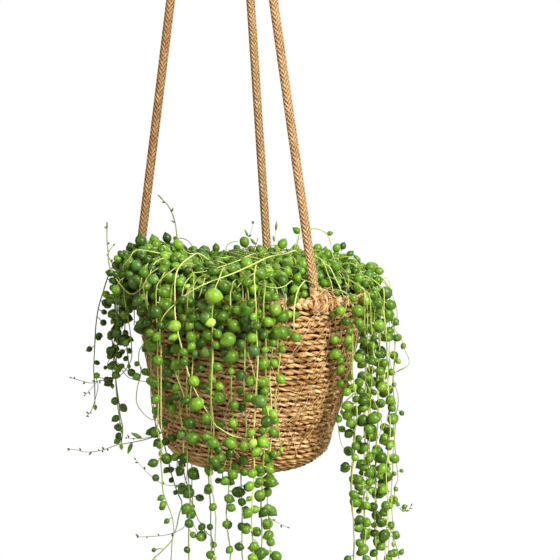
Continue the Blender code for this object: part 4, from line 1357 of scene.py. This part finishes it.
tones = {"d": (0.16, 0.34, 0.10), "b": (0.28, 0.46, 0.90), "m": (0.40, 0.52, 0.10),
         "f": (0.54, 0.60, 0.00), "y": (0.66, 0.62, 0.00), "p": (0.84, 0.70, 0.00)}
pearls_seen = {
    "left of the mound": """131 247 4.6 d, 141 241 6.2 d, 148 248.5 5 f, 167 238 4.8 d, 175.6 238.6 2.5 d,
        163 250 5.3 y, 165 256 5 y, 178.5 245 5.3 f, 172 250 4.5 m, 148 260 5 d, 137 266 6 b, 128 258 4 m,
        117.6 259 4 y, 118 265 3.5 d, 125 267.6 3 y, 119 276 5.5 f, 115 281 4 d, 135 283 6.5 b, 127 287 4.5 d,
        151 280 6 d, 163 270 5 m, 169 278 5.8 b, 176 266.5 4.5 y, 121 254 3.5 d, 152 269 4.5 d, 157 262 4 m,
        182 280 4.5 m, 192 277.5 4.5 f, 189 270 4.5 d, 199 269 5 m, 200.5 254 6 d, 209 264 5.5 b,
        188 287 3.3 p, 201 281.5 3.5 p, 194 249 3.5 m, 185 260 4 m, 144 272 4.5 d, 158 286 5 d, 110 273 4 d""",
    "middle of the mound": """216 248 4 d, 244.4 242 5.3 m, 237 248 3.5 b, 260 249 4.6 m, 262.4 254.7 4.6 y,
        282.5 244 5.2 m, 278 249 4.6 f, 271.5 251 4.2 m, 296 248 4 f, 297.6 254 5.3 m, 280 259.5 4.5 m,
        270 262 4.5 m, 268 268 4.2 y, 277 267.6 4 y, 287 266 5.5 m, 293.5 272 6 d, 281.4 278 6.5 m,
        261.6 274 4.3 d, 271 280 3.5 d, 245.5 262 4.8 b, 232 270 3.5 b, 226 259 4 m, 214 272.7 5.5 f,
        243 274 4 y, 243.7 281.5 6 m, 235 279 3.5 y, 226 287.4 6.5 m, 253 281 4 m, 254 270 4 d, 222 279 4 m,
        252.8 289 5.8 f, 271 289 5.5 m, 283 290 4.5 d, 294.6 290 4.8 f, 303 286.6 4.2 m, 304 294 3.5 m,
        262 290 4.4 m, 204 291 4.5 d, 251 249 3.2 d""",
    "right of the mound": """317.5 248 4.6 m, 336.6 248 4.4 m, 343.7 258 5 f, 327.6 255 5 m, 335.6 267 5 m,
        346.7 277.4 5.3 d, 354.7 271 4.6 d, 358.8 278.4 5.3 m, 368.8 275.4 5.3 b, 369.8 267.7 4.5 m,
        379 271 4.5 m, 378 280.4 4.6 m, 356.8 286.4 4.5 m, 323.6 283.4 4.4 m, 374 293.5 6 f, 384 292.5 5 d,
        352 263 4.5 m, 347 268 4 d, 328 272 4.2 d, 338 282 4 m, 365 284 4.2 d, 361 266 4 m, 343 246 3.5 d,
        322 264 4.4 f, 316 270 4 d, 350 254 3.6 d""",
    "left strings": """166.4 290 6.3 f, 166 303.5 6.3 y, 155.4 311.6 6 d, 140 299 6.5 d, 133 305 5.5 d,
        116 290 5 f, 106.2 294.3 4 y, 111 299 5.5 b, 108 304.6 4.2 m, 121.3 300.6 5.5 b, 112.8 314 5 m,
        103.3 322.6 3.6 d, 125.7 320 3.8 d, 119.8 322.6 4.5 d, 113.2 321 3 f, 141 327.7 6.5 d, 147.7 322.6 5 d,
        149 333 5.5 d, 117 333 5 d, 111 335 4 d, 125.3 333 3.5 m, 98.4 337.7 3.1 d, 89.5 349 3.2 d,
        96.8 362.6 2.8 d, 96.8 375.6 2.8 m, 121.7 341.5 4.5 d, 126 343 3.5 m, 110.3 350.7 4.5 d, 115.2 348 4 m,
        118.5 355 3.8 d, 110.3 356 3.5 d, 129.3 350.7 3.2 m, 126 358.5 3 m, 111.4 366 4.3 d, 105.5 367.5 2.2 d,
        117.4 368 4 m, 115.8 375 4.2 m, 121.7 366 3 y, 108.7 382.6 4.4 d, 115.2 401 4.2 d, 123.3 408 4 d,
        115.8 418.4 3.7 d, 119 428.4 3 d, 118.5 435.2 3 d, 117.4 441 3.4 m, 137 363.7 2.8 d, 131.5 372.6 4 d,
        137 376.7 4 m, 145 371.8 3.8 d, 150.4 345.8 6 m, 145 348.5 3.5 d, 157 337 4.6 m, 157.5 360.4 5.2 m,
        153.7 382 5.5 m, 155.8 399 4.6 m, 155.8 411 4.4 m, 153.7 431.4 5 d, 157.5 442.8 4.3 d, 129 310 3.6 d,
        104 312 3 d, 122 311 4 d, 160 325 4 d""",
    "front, upper": """213.5 296 7.5 y, 198.7 304 6 b, 190 303 5 m, 190 312 4.5 m, 206.4 316.7 4.6 p,
        211 322.6 4.6 p, 166 322.6 6 m, 174.8 326 6 y, 183 318 4 y, 189.5 325.5 4.5 m, 199 325 5.5 d,
        193 317.4 4.5 d, 207.5 335 6 m, 191 336.5 5 f, 173.4 337 4 y, 236 294.7 5.5 p, 265.7 299 5 m,
        274.8 297.3 4.2 m, 294 299.5 5 m, 245.5 308.6 7.8 m, 236.3 310 4.5 m, 253 305 4.5 d, 247.3 323.7 8 b,
        253.6 316.7 3.8 f, 219.4 316 7 m, 233.4 325.5 6 m, 267.5 322 5 f, 283 316.7 5.8 m, 281.4 332 5.8 m,
        217.6 333.6 4 m, 228 339.5 7.5 m, 252 338 5 f, 263.8 335 4.5 d, 270.4 337.3 5 m, 244 334.3 4 d,
        240.8 344 4.8 b, 206.7 352.3 5.5 m, 195.3 354 4 b, 183 352 4 m, 191.8 346 4 f, 215.4 345 3.8 m,
        232 356.7 6.5 m, 253.9 350.6 5.5 b, 265.2 349.7 3.5 f, 263.5 363.7 5.5 m, 274 363 4 f, 217 367 4.8 m,
        231 371 3.5 y, 240.8 375 5.2 b, 199.7 368 3.8 d, 175.3 348.5 4.5 f, 176.4 364.8 6 f, 225 352 4.5 d,
        182 300 4.5 d, 181 309 4 m, 226 305 4 d, 201 343 4.5 d, 184 362 4.5 d, 168 350 5 d, 167 362 4.5 d,
        273 343 4 m, 222 328 4 d, 259 312 3.6 m, 257 326 4 d, 210 308 4 d, 177 293 4 d""",
    "front, lower": """251 381 5.2 m, 262.6 381 4.5 f, 280.6 379 4.8 f, 264.4 391 4.3 m, 193.6 381 5.5 f,
        212 379.4 4 m, 219 386.4 4.2 y, 208.4 390 4 m, 219 397 4.6 f, 197 404 6.5 f, 233.8 405 4.8 m,
        241.6 407.4 4.3 d, 248.6 398.6 4.3 f, 260.5 401 6 b, 267 410 5 y, 273 414.4 4.6 y, 267 421.4 5.8 d,
        275 420 4 m, 273 432 4.6 m, 189.2 423 6 d, 205.8 418 5 m, 219.8 424 4.3 m, 233 423 4.6 y, 192.7 438 6.3 m,
        180.5 434.5 5 d, 212.8 443 5.6 m, 218 449 4.5 d, 230.3 443 6 f, 244.3 446 5.2 p, 253 443 4.2 p,
        251.3 432.7 4 y, 262.6 442.3 5.8 y, 206.7 437 3.2 d, 172.6 438 4 d, 175.2 457 4.2 m, 166.5 460 4 d,
        184 458 5 d, 230.3 453 4.5 d, 243.4 460 5 m, 214.5 461.6 4.6 d, 220.7 458 3.5 d, 267 457 5.6 m,
        274 454 4 m, 176.4 387.5 4.2 f, 173 409 4.4 f, 176.4 397.3 4 d, 186.7 400.5 4 d, 166.7 385 5 d,
        167.8 372.3 5 d, 165 422 4 d, 165.6 441.7 4 d, 204 386.4 3.5 d, 240 391 3.6 m, 170 399 4 d,
        263 430 4.4 m, 256 452 4.4 f, 236 466 4 m""",
    "below the basket, left": """153.4 463 4.5 d, 155.6 477.7 3.6 d, 166.6 470 3 d, 180 471.7 4.3 d,
        193.4 474.4 5.5 d, 171.4 480 2.8 d, 182.3 489.7 4.5 m, 189 493 5.5 b, 175.6 492.4 2.6 d,
        161.2 497.8 3.3 m, 162.4 507 3.3 m, 167 521 2.8 d, 186.8 508.6 5.3 m, 191.3 514 5 m, 189 523.4 4.5 d,
        202 527 3.6 d, 193 534.8 3.2 m, 200 537 4 m, 187 549.7 3.2 d, 208.4 490 4.5 m, 213 507 3.8 m,
        209.8 527 3.2 d, 213.4 544.7 3.3 m, 210 555 4 m, 208.4 470 4.3 m, 154 550 2.2 d""",
    "below the basket, middle": """225.5 480.7 4.6 m, 232.7 474.4 5 m, 229 498.7 4.6 m, 231 507.7 4.3 f,
        239 492.4 4.5 d, 249.8 486 4.6 f, 252.5 473.5 4.5 f, 267.8 481 6 m, 268.7 467 5 m, 267 492 5 m,
        259.7 495 5.3 m, 249 498.7 2.8 m, 248 513 4.8 m, 255 509.5 4 y, 264 512 4.8 d, 271.4 511 5.4 b,
        226 524 3.5 m, 241.7 526.7 4.2 d, 246.2 530 4.2 m, 267.8 524 5.3 m, 257 532.6 3.8 d, 268.7 535 4.8 m,
        270.5 542 4.3 m, 239 546.8 4.2 d, 229.6 549.7 3.7 m, 254.3 546 4.4 f, 260.6 553.7 6 d, 276 556.4 5.5 m,
        252.5 558 4.6 f, 244 472 4 m, 217.5 466.5 4.6 d, 230 481.5 4 m, 241.7 502 4 m, 221 470 3.6 d, 260 472 4.6 m, 258 484 4 m""",
    "right strings, upper": """336.6 298.5 5 f, 380 305.5 5 m, 392 305 4.5 m, 357.8 310.6 6 m, 340.7 310.6 5 f,
        334.6 314 3.5 f, 345.7 321.6 4.5 d, 358.8 322.7 4.6 m, 362 328 4.3 m, 375 318.6 5 m, 389 315.6 6 m,
        395 321.6 4.3 m, 380 327.7 5.3 m, 374 338 3.5 d, 387 337.7 4.2 m, 396 338 3.5 d, 390 330.7 4 m,
        403.4 345.8 3 m, 334.6 339.7 4.5 f, 348.7 339.7 4.5 f, 351.7 347 4.5 m, 369 349 5.2 d, 381 351 5.3 d,
        335.6 353.8 5.5 f, 340.7 360 4 m, 358.8 358 4.8 m, 362 364 4.6 m, 384 363 4.6 m, 398 361 3 y,
        340.7 369.5 4.5 f, 381 375 5.4 m, 391 372 4 m, 351 377 3.3 m, 369.4 381 5 m, 341.7 383.5 4.5 m,
        352.7 388 4.5 f, 374 392.2 3 d, 366 302 4.4 d, 350 331 3.6 m, 371 330 3.8 m, 363 340 4 m, 372 361 4 d,
        376 309 4 d, 347 305 4 m, 353 298 4 m""",
    "right strings, middle": """347 392 4.3 f, 382 387 5 f, 388 390 5.3 d, 364 398.6 5.8 d, 356 399 3.5 d,
        347.8 405.8 5 f, 364.6 406.5 4.5 m, 380 403.6 2.8 d, 390.4 400 5 m, 391.6 408 4 m, 347.8 415 5.3 f,
        338.8 419 3.6 m, 350.8 423 4.6 m, 362 421.4 5.3 d, 373.6 418.4 5.8 m, 378 416 4 m, 392.8 419.4 5.5 m,
        341.8 429 3.6 f, 349 433.4 4.6 m, 368.8 429 5 m, 371.8 436 6.6 d, 389 432 6 m, 383.8 440 4.8 m,
        389.8 445.4 3.4 y, 355.6 446 4.2 m, 364.6 447 4.6 m, 348.4 451 5 b, 355 457.4 4 y, 378 450.8 5 m,
        381 457.5 6.4 d, 394.6 459 3 m, 369.4 458.6 3.8 m, 361 464 5 m, 345.4 468 4.8 m, 382.6 468.6 5.4 f,
        370 472 4.5 m, 387.4 477 5.3 d, 379.6 476 3.5 f, 394 473.6 2.6 m""",
    "right strings, lower": """355 479.6 5.6 m, 362 484.6 5.6 f, 370 482 4 m, 382.6 490 4.5 f, 376 493 5.5 d,
        395.8 489 2.6 m, 353.8 494.6 4.6 m, 355 502 5.3 m, 366.4 505.4 4.2 f, 373 507 5 d, 386 505.4 4.8 m,
        397.6 504 2.2 m, 404 509.6 2.2 f, 359 511 3.2 m, 376.6 515.6 5.3 d, 358.6 521 4.5 m, 367 522.8 4.5 m,
        382.6 523 4.2 d, 391 525 3.8 m, 359 528 5 m, 373.6 525 3 f, 395.8 534 3.8 m, 384.4 535 5.8 d,
        364.6 536 5.3 m, 374 533 4 d, 379 543 5 f, 359.8 543 4.5 m, 363.4 549.6 5.4 m, 374 553 4.2 m,
        394.4 553 4.4 m, 347.8 559 4 m, 388 559 4.6 m, 366.4 559 4 m""",
}
leaves_seen = [
    # the stem that bears it, where it grows in the picture, where it ends, and how wide it is
    ("wisp_bud_e", "300 233 292 227 3.6"), ("arch", "326.5 233.6 334 232.6 2.7"),
    ("wisp_bud_f", "360 261 353 254 2.6"), ("wisp_bud_b", "249.5 236 244.5 229 1.4"),
    ("wisp_bud_d", "275.5 230 276.5 221 1.4"), ("wisp_bud_d", "274.5 242 273 235 1.2"),
    ("wisp_bud_c", "256 245 250 238 1.8"), ("low_twig", "142 437 130.5 432.5 2.0"),
    ("low_arc", "131.5 442.5 127.5 454.5 2.0"), ("wisp_rope", "161.5 199 159 195.5 0.9"),
    ("wisp_left", "107 227 107 223 1.0")]

seen_places = np.array([[float(number) for number in entry.split()[:3]]
                        for text in pearls_seen.values() for entry in text.split(",")])


def hides(place, radius):
    """Whether a pearl of a string is behind those that were placed, or out of the picture."""
    x, y = picture_place(place)
    if y > 566.0 or place[1] > 0.03:
        return True
    away = np.hypot(seen_places[:, 0] - x, seen_places[:, 1] - y)
    return bool((away + 1000.0 * radius < seen_places[:, 2] + 2.2).any())


marks = [(key, i) for key, path in stem_paths.items() for i in range(3, len(path))]
near_stem = KDTree(len(marks))
for number, (key, i) in enumerate(marks):
    near_stem.insert(stem_paths[key][i], number)
near_stem.balance()
for key in stem_paths:
    growths[key] = Growth()
mound = Growth()
chooser = random.Random(8)
places_seen = np.array([picture_place(stem_paths[key][i]) for key, i in marks])


def stems_beside(x, y, radius):
    """The stems that pass a place of the picture, the closest first."""
    off = np.abs(places_seen - (x, y))
    rows = np.nonzero((off[:, 1] < 2.4) & (off[:, 0] < radius * 1250.0 + 5.0))[0]
    found = {}
    for row in rows:
        key, i = marks[row]
        if key not in found or off[row, 0] < found[key][0]:
            found[key] = (off[row, 0], key, i, stem_paths[key][i])
    front = [row for row in found.values() if row[3][1] < 0.02 or x > 356.0 or x < 135.0]
    return sorted(front, key=lambda row: row[0])


for place, text in pearls_seen.items():
    on_mound = "mound" in place
    for entry in text.split(","):
        x, y, size, tone = entry.split()
        x, y, radius = float(x), float(y), float(size) / 1250.0 * 0.97
        hue, light, bloom = tones[tone]
        # Painted light: pearls on the mound are set lighter towards its lit right side, and the others a little
        # lighter throughout.
        painted_light_lift = 0.16 * min(max((x - 185.0) / 60.0, 0.0), 1.0) if on_mound else 0.05
        tint = (min(max(hue + chooser.uniform(-0.07, 0.07), 0.0), 1.0),
                min(max(light + painted_light_lift + chooser.uniform(-0.08, 0.08), 0.0), 1.0), bloom)
        length, point = chooser.uniform(0.98, 1.14), min(1.0, max(0.0, chooser.gauss(0.38, 0.28)))
        beside = [] if on_mound else stems_beside(x, y, radius)
        for _, key, i, stem in beside:
            ray = sight_ray(x, y)
            centre = np.array(eye) + ray * (stem[1] - eye[1]) / ray[1]
            aside = math.hypot(centre[0] - stem[0], centre[2] - stem[2])
            reach = radius + 0.0012
            if aside < reach:
                centre = centre - ray * math.sqrt(reach * reach - aside * aside)
            if room.is_free(centre, radius, 0.90):
                break
        else:
            key = None
            for lift in (0.0, 0.002, -0.002, 0.004, -0.004, 0.006, 0.008, -0.006, 0.010, 0.013, -0.009):
                centre = seen_at(x, y, lift)
                if room.is_free(centre, radius, 0.90):
                    break
            else:
                continue
        room.take(centre, radius)
        if on_mound:
            local = upright(centre)
            facing = unit(np.array((local[0] * 0.9, local[1] * 0.9, max(local[2], 0.0) * 2.2 + 0.01))
                          + np.array([chooser.gauss(0.0, 0.035) for _ in range(3)]))
            facing = basket_turn @ facing
            mound.put(centre - facing * (0.002 + radius * length), facing, radius, 0.002, point, length, tint)
            continue
        if key is None:
            _, number, _ = near_stem.find(Vector(centre))
            key, i = marks[number]
        path = stem_paths[key]
        off = centre - path[i]
        distance = np.linalg.norm(off)
        side = math.copysign(1.0, off[0] + chooser.gauss(0.0, 0.0012))
        facing = unit(np.array((side * chooser.uniform(0.4, 1.0), -chooser.uniform(0.1, 0.6),
                                -chooser.uniform(0.1, 0.8))))
        base = centre - facing * radius * length
        near = distance < radius + 0.0045
        above = path[max(3, i - 1 if near else i - 2 - int(distance / 0.004))]
        bow = 0.0006 if near else 0.12 * distance
        shoot = smooth([above, above + (base - above) * 0.55 + np.array((0.0, 0.0, bow)), base], 0.0030)
        growths[key].stem(shoot, 0.00042, 0.00036, 0.6, 3 if near else 4)
        growths[key].put(base, facing, radius, 0.0001, point, length, tint)

for name, entry in leaves_seen:
    x, y, end_x, end_y, wide = (float(number) for number in entry.split())
    path = stem_paths["runner_" + name]
    root = min(path, key=lambda place: math.dist(picture_place(place), (x, y)))
    off = straight_behind(end_x, end_y, root[1]) - root
    radius = wide / 1250.0
    length = max(1.0, (np.linalg.norm(off) / radius - 0.4) / 2.2)
    growths["runner_" + name].put(root, off, radius, 0.0002, 0.9, length, (0.42, 0.50, 0.1))

# pearl size, from one to the next, how light, bare at the start, how pale the stem may be;
# how light is set lowest on the left strings, away from the light, as painted shade
habits = {"left": (0.0034, 0.0090, 0.20, 0.048, 0.45), "front": (0.0044, 0.0075, 0.34, 0.030, 0.90),
          "right": (0.0041, 0.0075, 0.50, 0.070, 0.90), "back": (0.0043, 0.0085, 0.45, 0.030, 0.70)}
for place, rows in strings.items():
    size, spacing, light, bare, palest = habits[place]
    for number in range(1, len(rows) + 1):
        key = "string_%s_%02d" % (place, number)
        draw = random.Random(key)
        growth, path = growths[key], stem_paths[key]
        growth.stem(path, 0.00064, 0.00042, draw.uniform(palest - 0.45, palest))
        bear(growth, path, draw, spacing * draw.uniform(0.9, 1.2), size * draw.uniform(0.88, 1.12),
             first=bare, fresh=draw.uniform(-0.5, 0.3), light=light, tip=0.66,
             turned=0.0 if place == "back" else 0.4,
             may_stand=None if place == "back" else hides)
        growth.put(path[-1], (0.1, 0.1, -1.0), 0.0017, 0.0, 0.8, 1.3, (0.7, 0.6, 0.0))
        growth.finish(key, key.replace("string", "strand"))
for name, (clear, thick, paleness, every, size, leafy, places) in runners.items():
    key = "runner_" + name
    draw = random.Random(key)
    growth, path = growths[key], stem_paths[key]
    growth.stem(path, thick * 0.68, thick * 0.45, paleness)
    if every:
        bear(growth, path, draw, every, size, first=0.008, light=0.4, tip=0.8)
    if leafy:
        tip_leaves(growth, path, draw, leafy, 0.2)
    growth.finish(key)
for name, (thick, paleness, places) in top_wisps.items():
    key = "runner_" + name
    draw = random.Random(key)
    growth, path = growths[key], stem_paths[key]
    growth.stem(path, thick, thick * 0.7, paleness, 4)
    if name in ("wisp_left", "wisp_left_side", "wisp_rope", "wisp_bud_b"):
        tip_leaves(growth, path, draw, 0.025, 0.1)
    growth.finish(key)


# The mat of the mound
# Its stems come out of the soil, lean outward and end just over the edge. A dark shell in the
# deepest stem colour fills the inside as painted shade, so that no soil shows between the pearls.

draw = random.Random(5)
rings = np.linspace(0.0, math.pi / 2, 9)
spokes = np.linspace(0.0, math.tau, 48, endpoint=False)
lumps = 0.0022 * np.sin(5 * spokes + 1.0)[None, :] * np.sin(rings * 3.0)[:, None]
dome_r = 0.070 * np.sin(rings)[:, None] + lumps
dome_z = 0.012 * np.cos(rings)[:, None] + 2.0 * lumps * np.cos(rings)[:, None]
dome_z = np.where(rings[:, None] > 1.5, soil_height + 0.002, dome_z)
shade_dome = np.stack([dome_r * np.cos(spokes), dome_r * np.sin(spokes), dome_z], -1)
i, j = np.arange(8)[:, None], np.arange(48)[None, :]
quads = np.stack([i * 48 + j, (i + 1) * 48 + j, (i + 1) * 48 + (j + 1) % 48, i * 48 + (j + 1) % 48], -1)
# The shell is painted the darkest stem colour: painted shade between the pearls.
mound.add(in_basket(shade_dome.reshape(-1, 3)), [quads.reshape(-1, 4)], shade_dome.reshape(-1, 3),
          (0.02, 0.1, 0.1), 1)

for number in range(18):
    x, y = 203 + 4.6 * number + draw.uniform(-3, 3), 249 + draw.uniform(0, 17)
    run, drop = draw.uniform(22, 46), draw.uniform(-3, 12)
    path = smooth([into_mound(seen_at(x, y)), seen_at(x, y, 0.004),
                   seen_at(x + run * 0.5, y + drop * 0.4 - draw.uniform(0, 3), draw.uniform(0.004, 0.008)),
                   seen_at(x + run, y + drop, 0.003), into_mound(seen_at(x + run + 4, y + drop + 2))], 0.0034)
    mound.stem(path, 0.00050, 0.0004, draw.uniform(0.35, 0.85), 4)

for number in range(64):
    bearing = number * 2.39996 + draw.uniform(-0.1, 0.1)
    degrees = math.degrees(bearing)
    reach = mound_reach(bearing)
    root = draw.uniform(0.020, 0.062)
    share = draw.uniform(0.60, 0.95)
    turn = draw.uniform(-22.0, 22.0)
    knots = [by_rim(root, degrees, soil_height)]
    for far, aside, high in ((root + 0.006, 0.0, 0.62), (0.5 * (root + reach), 0.5, 1.0), (reach * 0.90, 1.0, 0.72)):
        bend = bearing + math.radians(turn * aside)
        knots.append(by_rim(far, math.degrees(bend), mound_top(far * math.cos(bend)) * share * high))
    if bareness(math.radians(degrees + turn * 1.2)) > 0.2:
        knots.append(by_rim(reach * 0.97, degrees + turn * 1.2, 0.006))
    else:
        knots.append(by_rim(reach + 0.001, degrees + turn * 1.2, 0.004))
        knots.append(by_rim(reach + 0.003, degrees + turn * 1.3, -draw.uniform(0.010, 0.045)))
    path = smooth(knots, 0.0034)
    mound.stem(path, 0.00065, 0.00045, draw.uniform(0.3, 0.9))
    left = 0.5 - 0.5 * math.cos(bearing)
    # Painted shade: these pearls are set darker on the left, away from the light.
    bear(mound, path, draw, 0.0088, 0.0044 * draw.uniform(0.85, 1.15), first=0.026,
         fresh=draw.uniform(-0.3, 0.6), light=0.68 - 0.30 * left, tip=0.75, droop=-0.1,
         may_stand=lambda place, radius: plant_depth(place[None], 0.0)[0] < 1.0)

for attempt in range(26000):
    bearing = draw.uniform(-math.pi, math.pi)
    reach = mound_reach(bearing)
    out = reach * math.sqrt(draw.random()) * 1.04
    top = mound_top(out * math.cos(bearing))
    height = draw.uniform(-0.012, top)
    fill = (out / reach) ** mound_power + (max(height, 0.0) / top) ** mound_power
    if not 0.66 < fill < 1.05:
        continue
    radius = 0.0042 * draw.uniform(0.70, 1.20)
    centre = by_rim(out, math.degrees(bearing), height)
    if not room.is_free(centre, radius, 0.95):
        continue
    room.take(centre, radius)
    slope_out = (out / reach) ** (mound_power - 1) / reach
    slope_up = (max(height, 0.0) / top) ** (mound_power - 1) / top
    facing = unit(np.array((slope_out * math.cos(bearing), slope_out * math.sin(bearing), slope_up))
                  + np.array([draw.gauss(0.0, 6.0) for _ in range(3)]))
    facing = basket_turn @ facing
    length = draw.uniform(0.96, 1.12)
    # Painted shade: darker on the left, away from the light, and darker deeper inside the mound.
    left = 0.5 - 0.5 * math.cos(bearing)
    mound.put(centre - facing * (0.0022 + radius * length), facing, radius, 0.0022,
              max(0.0, draw.gauss(0.3, 0.3)), length,
              pearl_tint(draw, draw.uniform(-0.4, 0.5), 0.66 - 0.30 * left - 1.1 * max(0.0, 0.92 - fill)))
mound.finish("pearl_mound", "plant_crown")
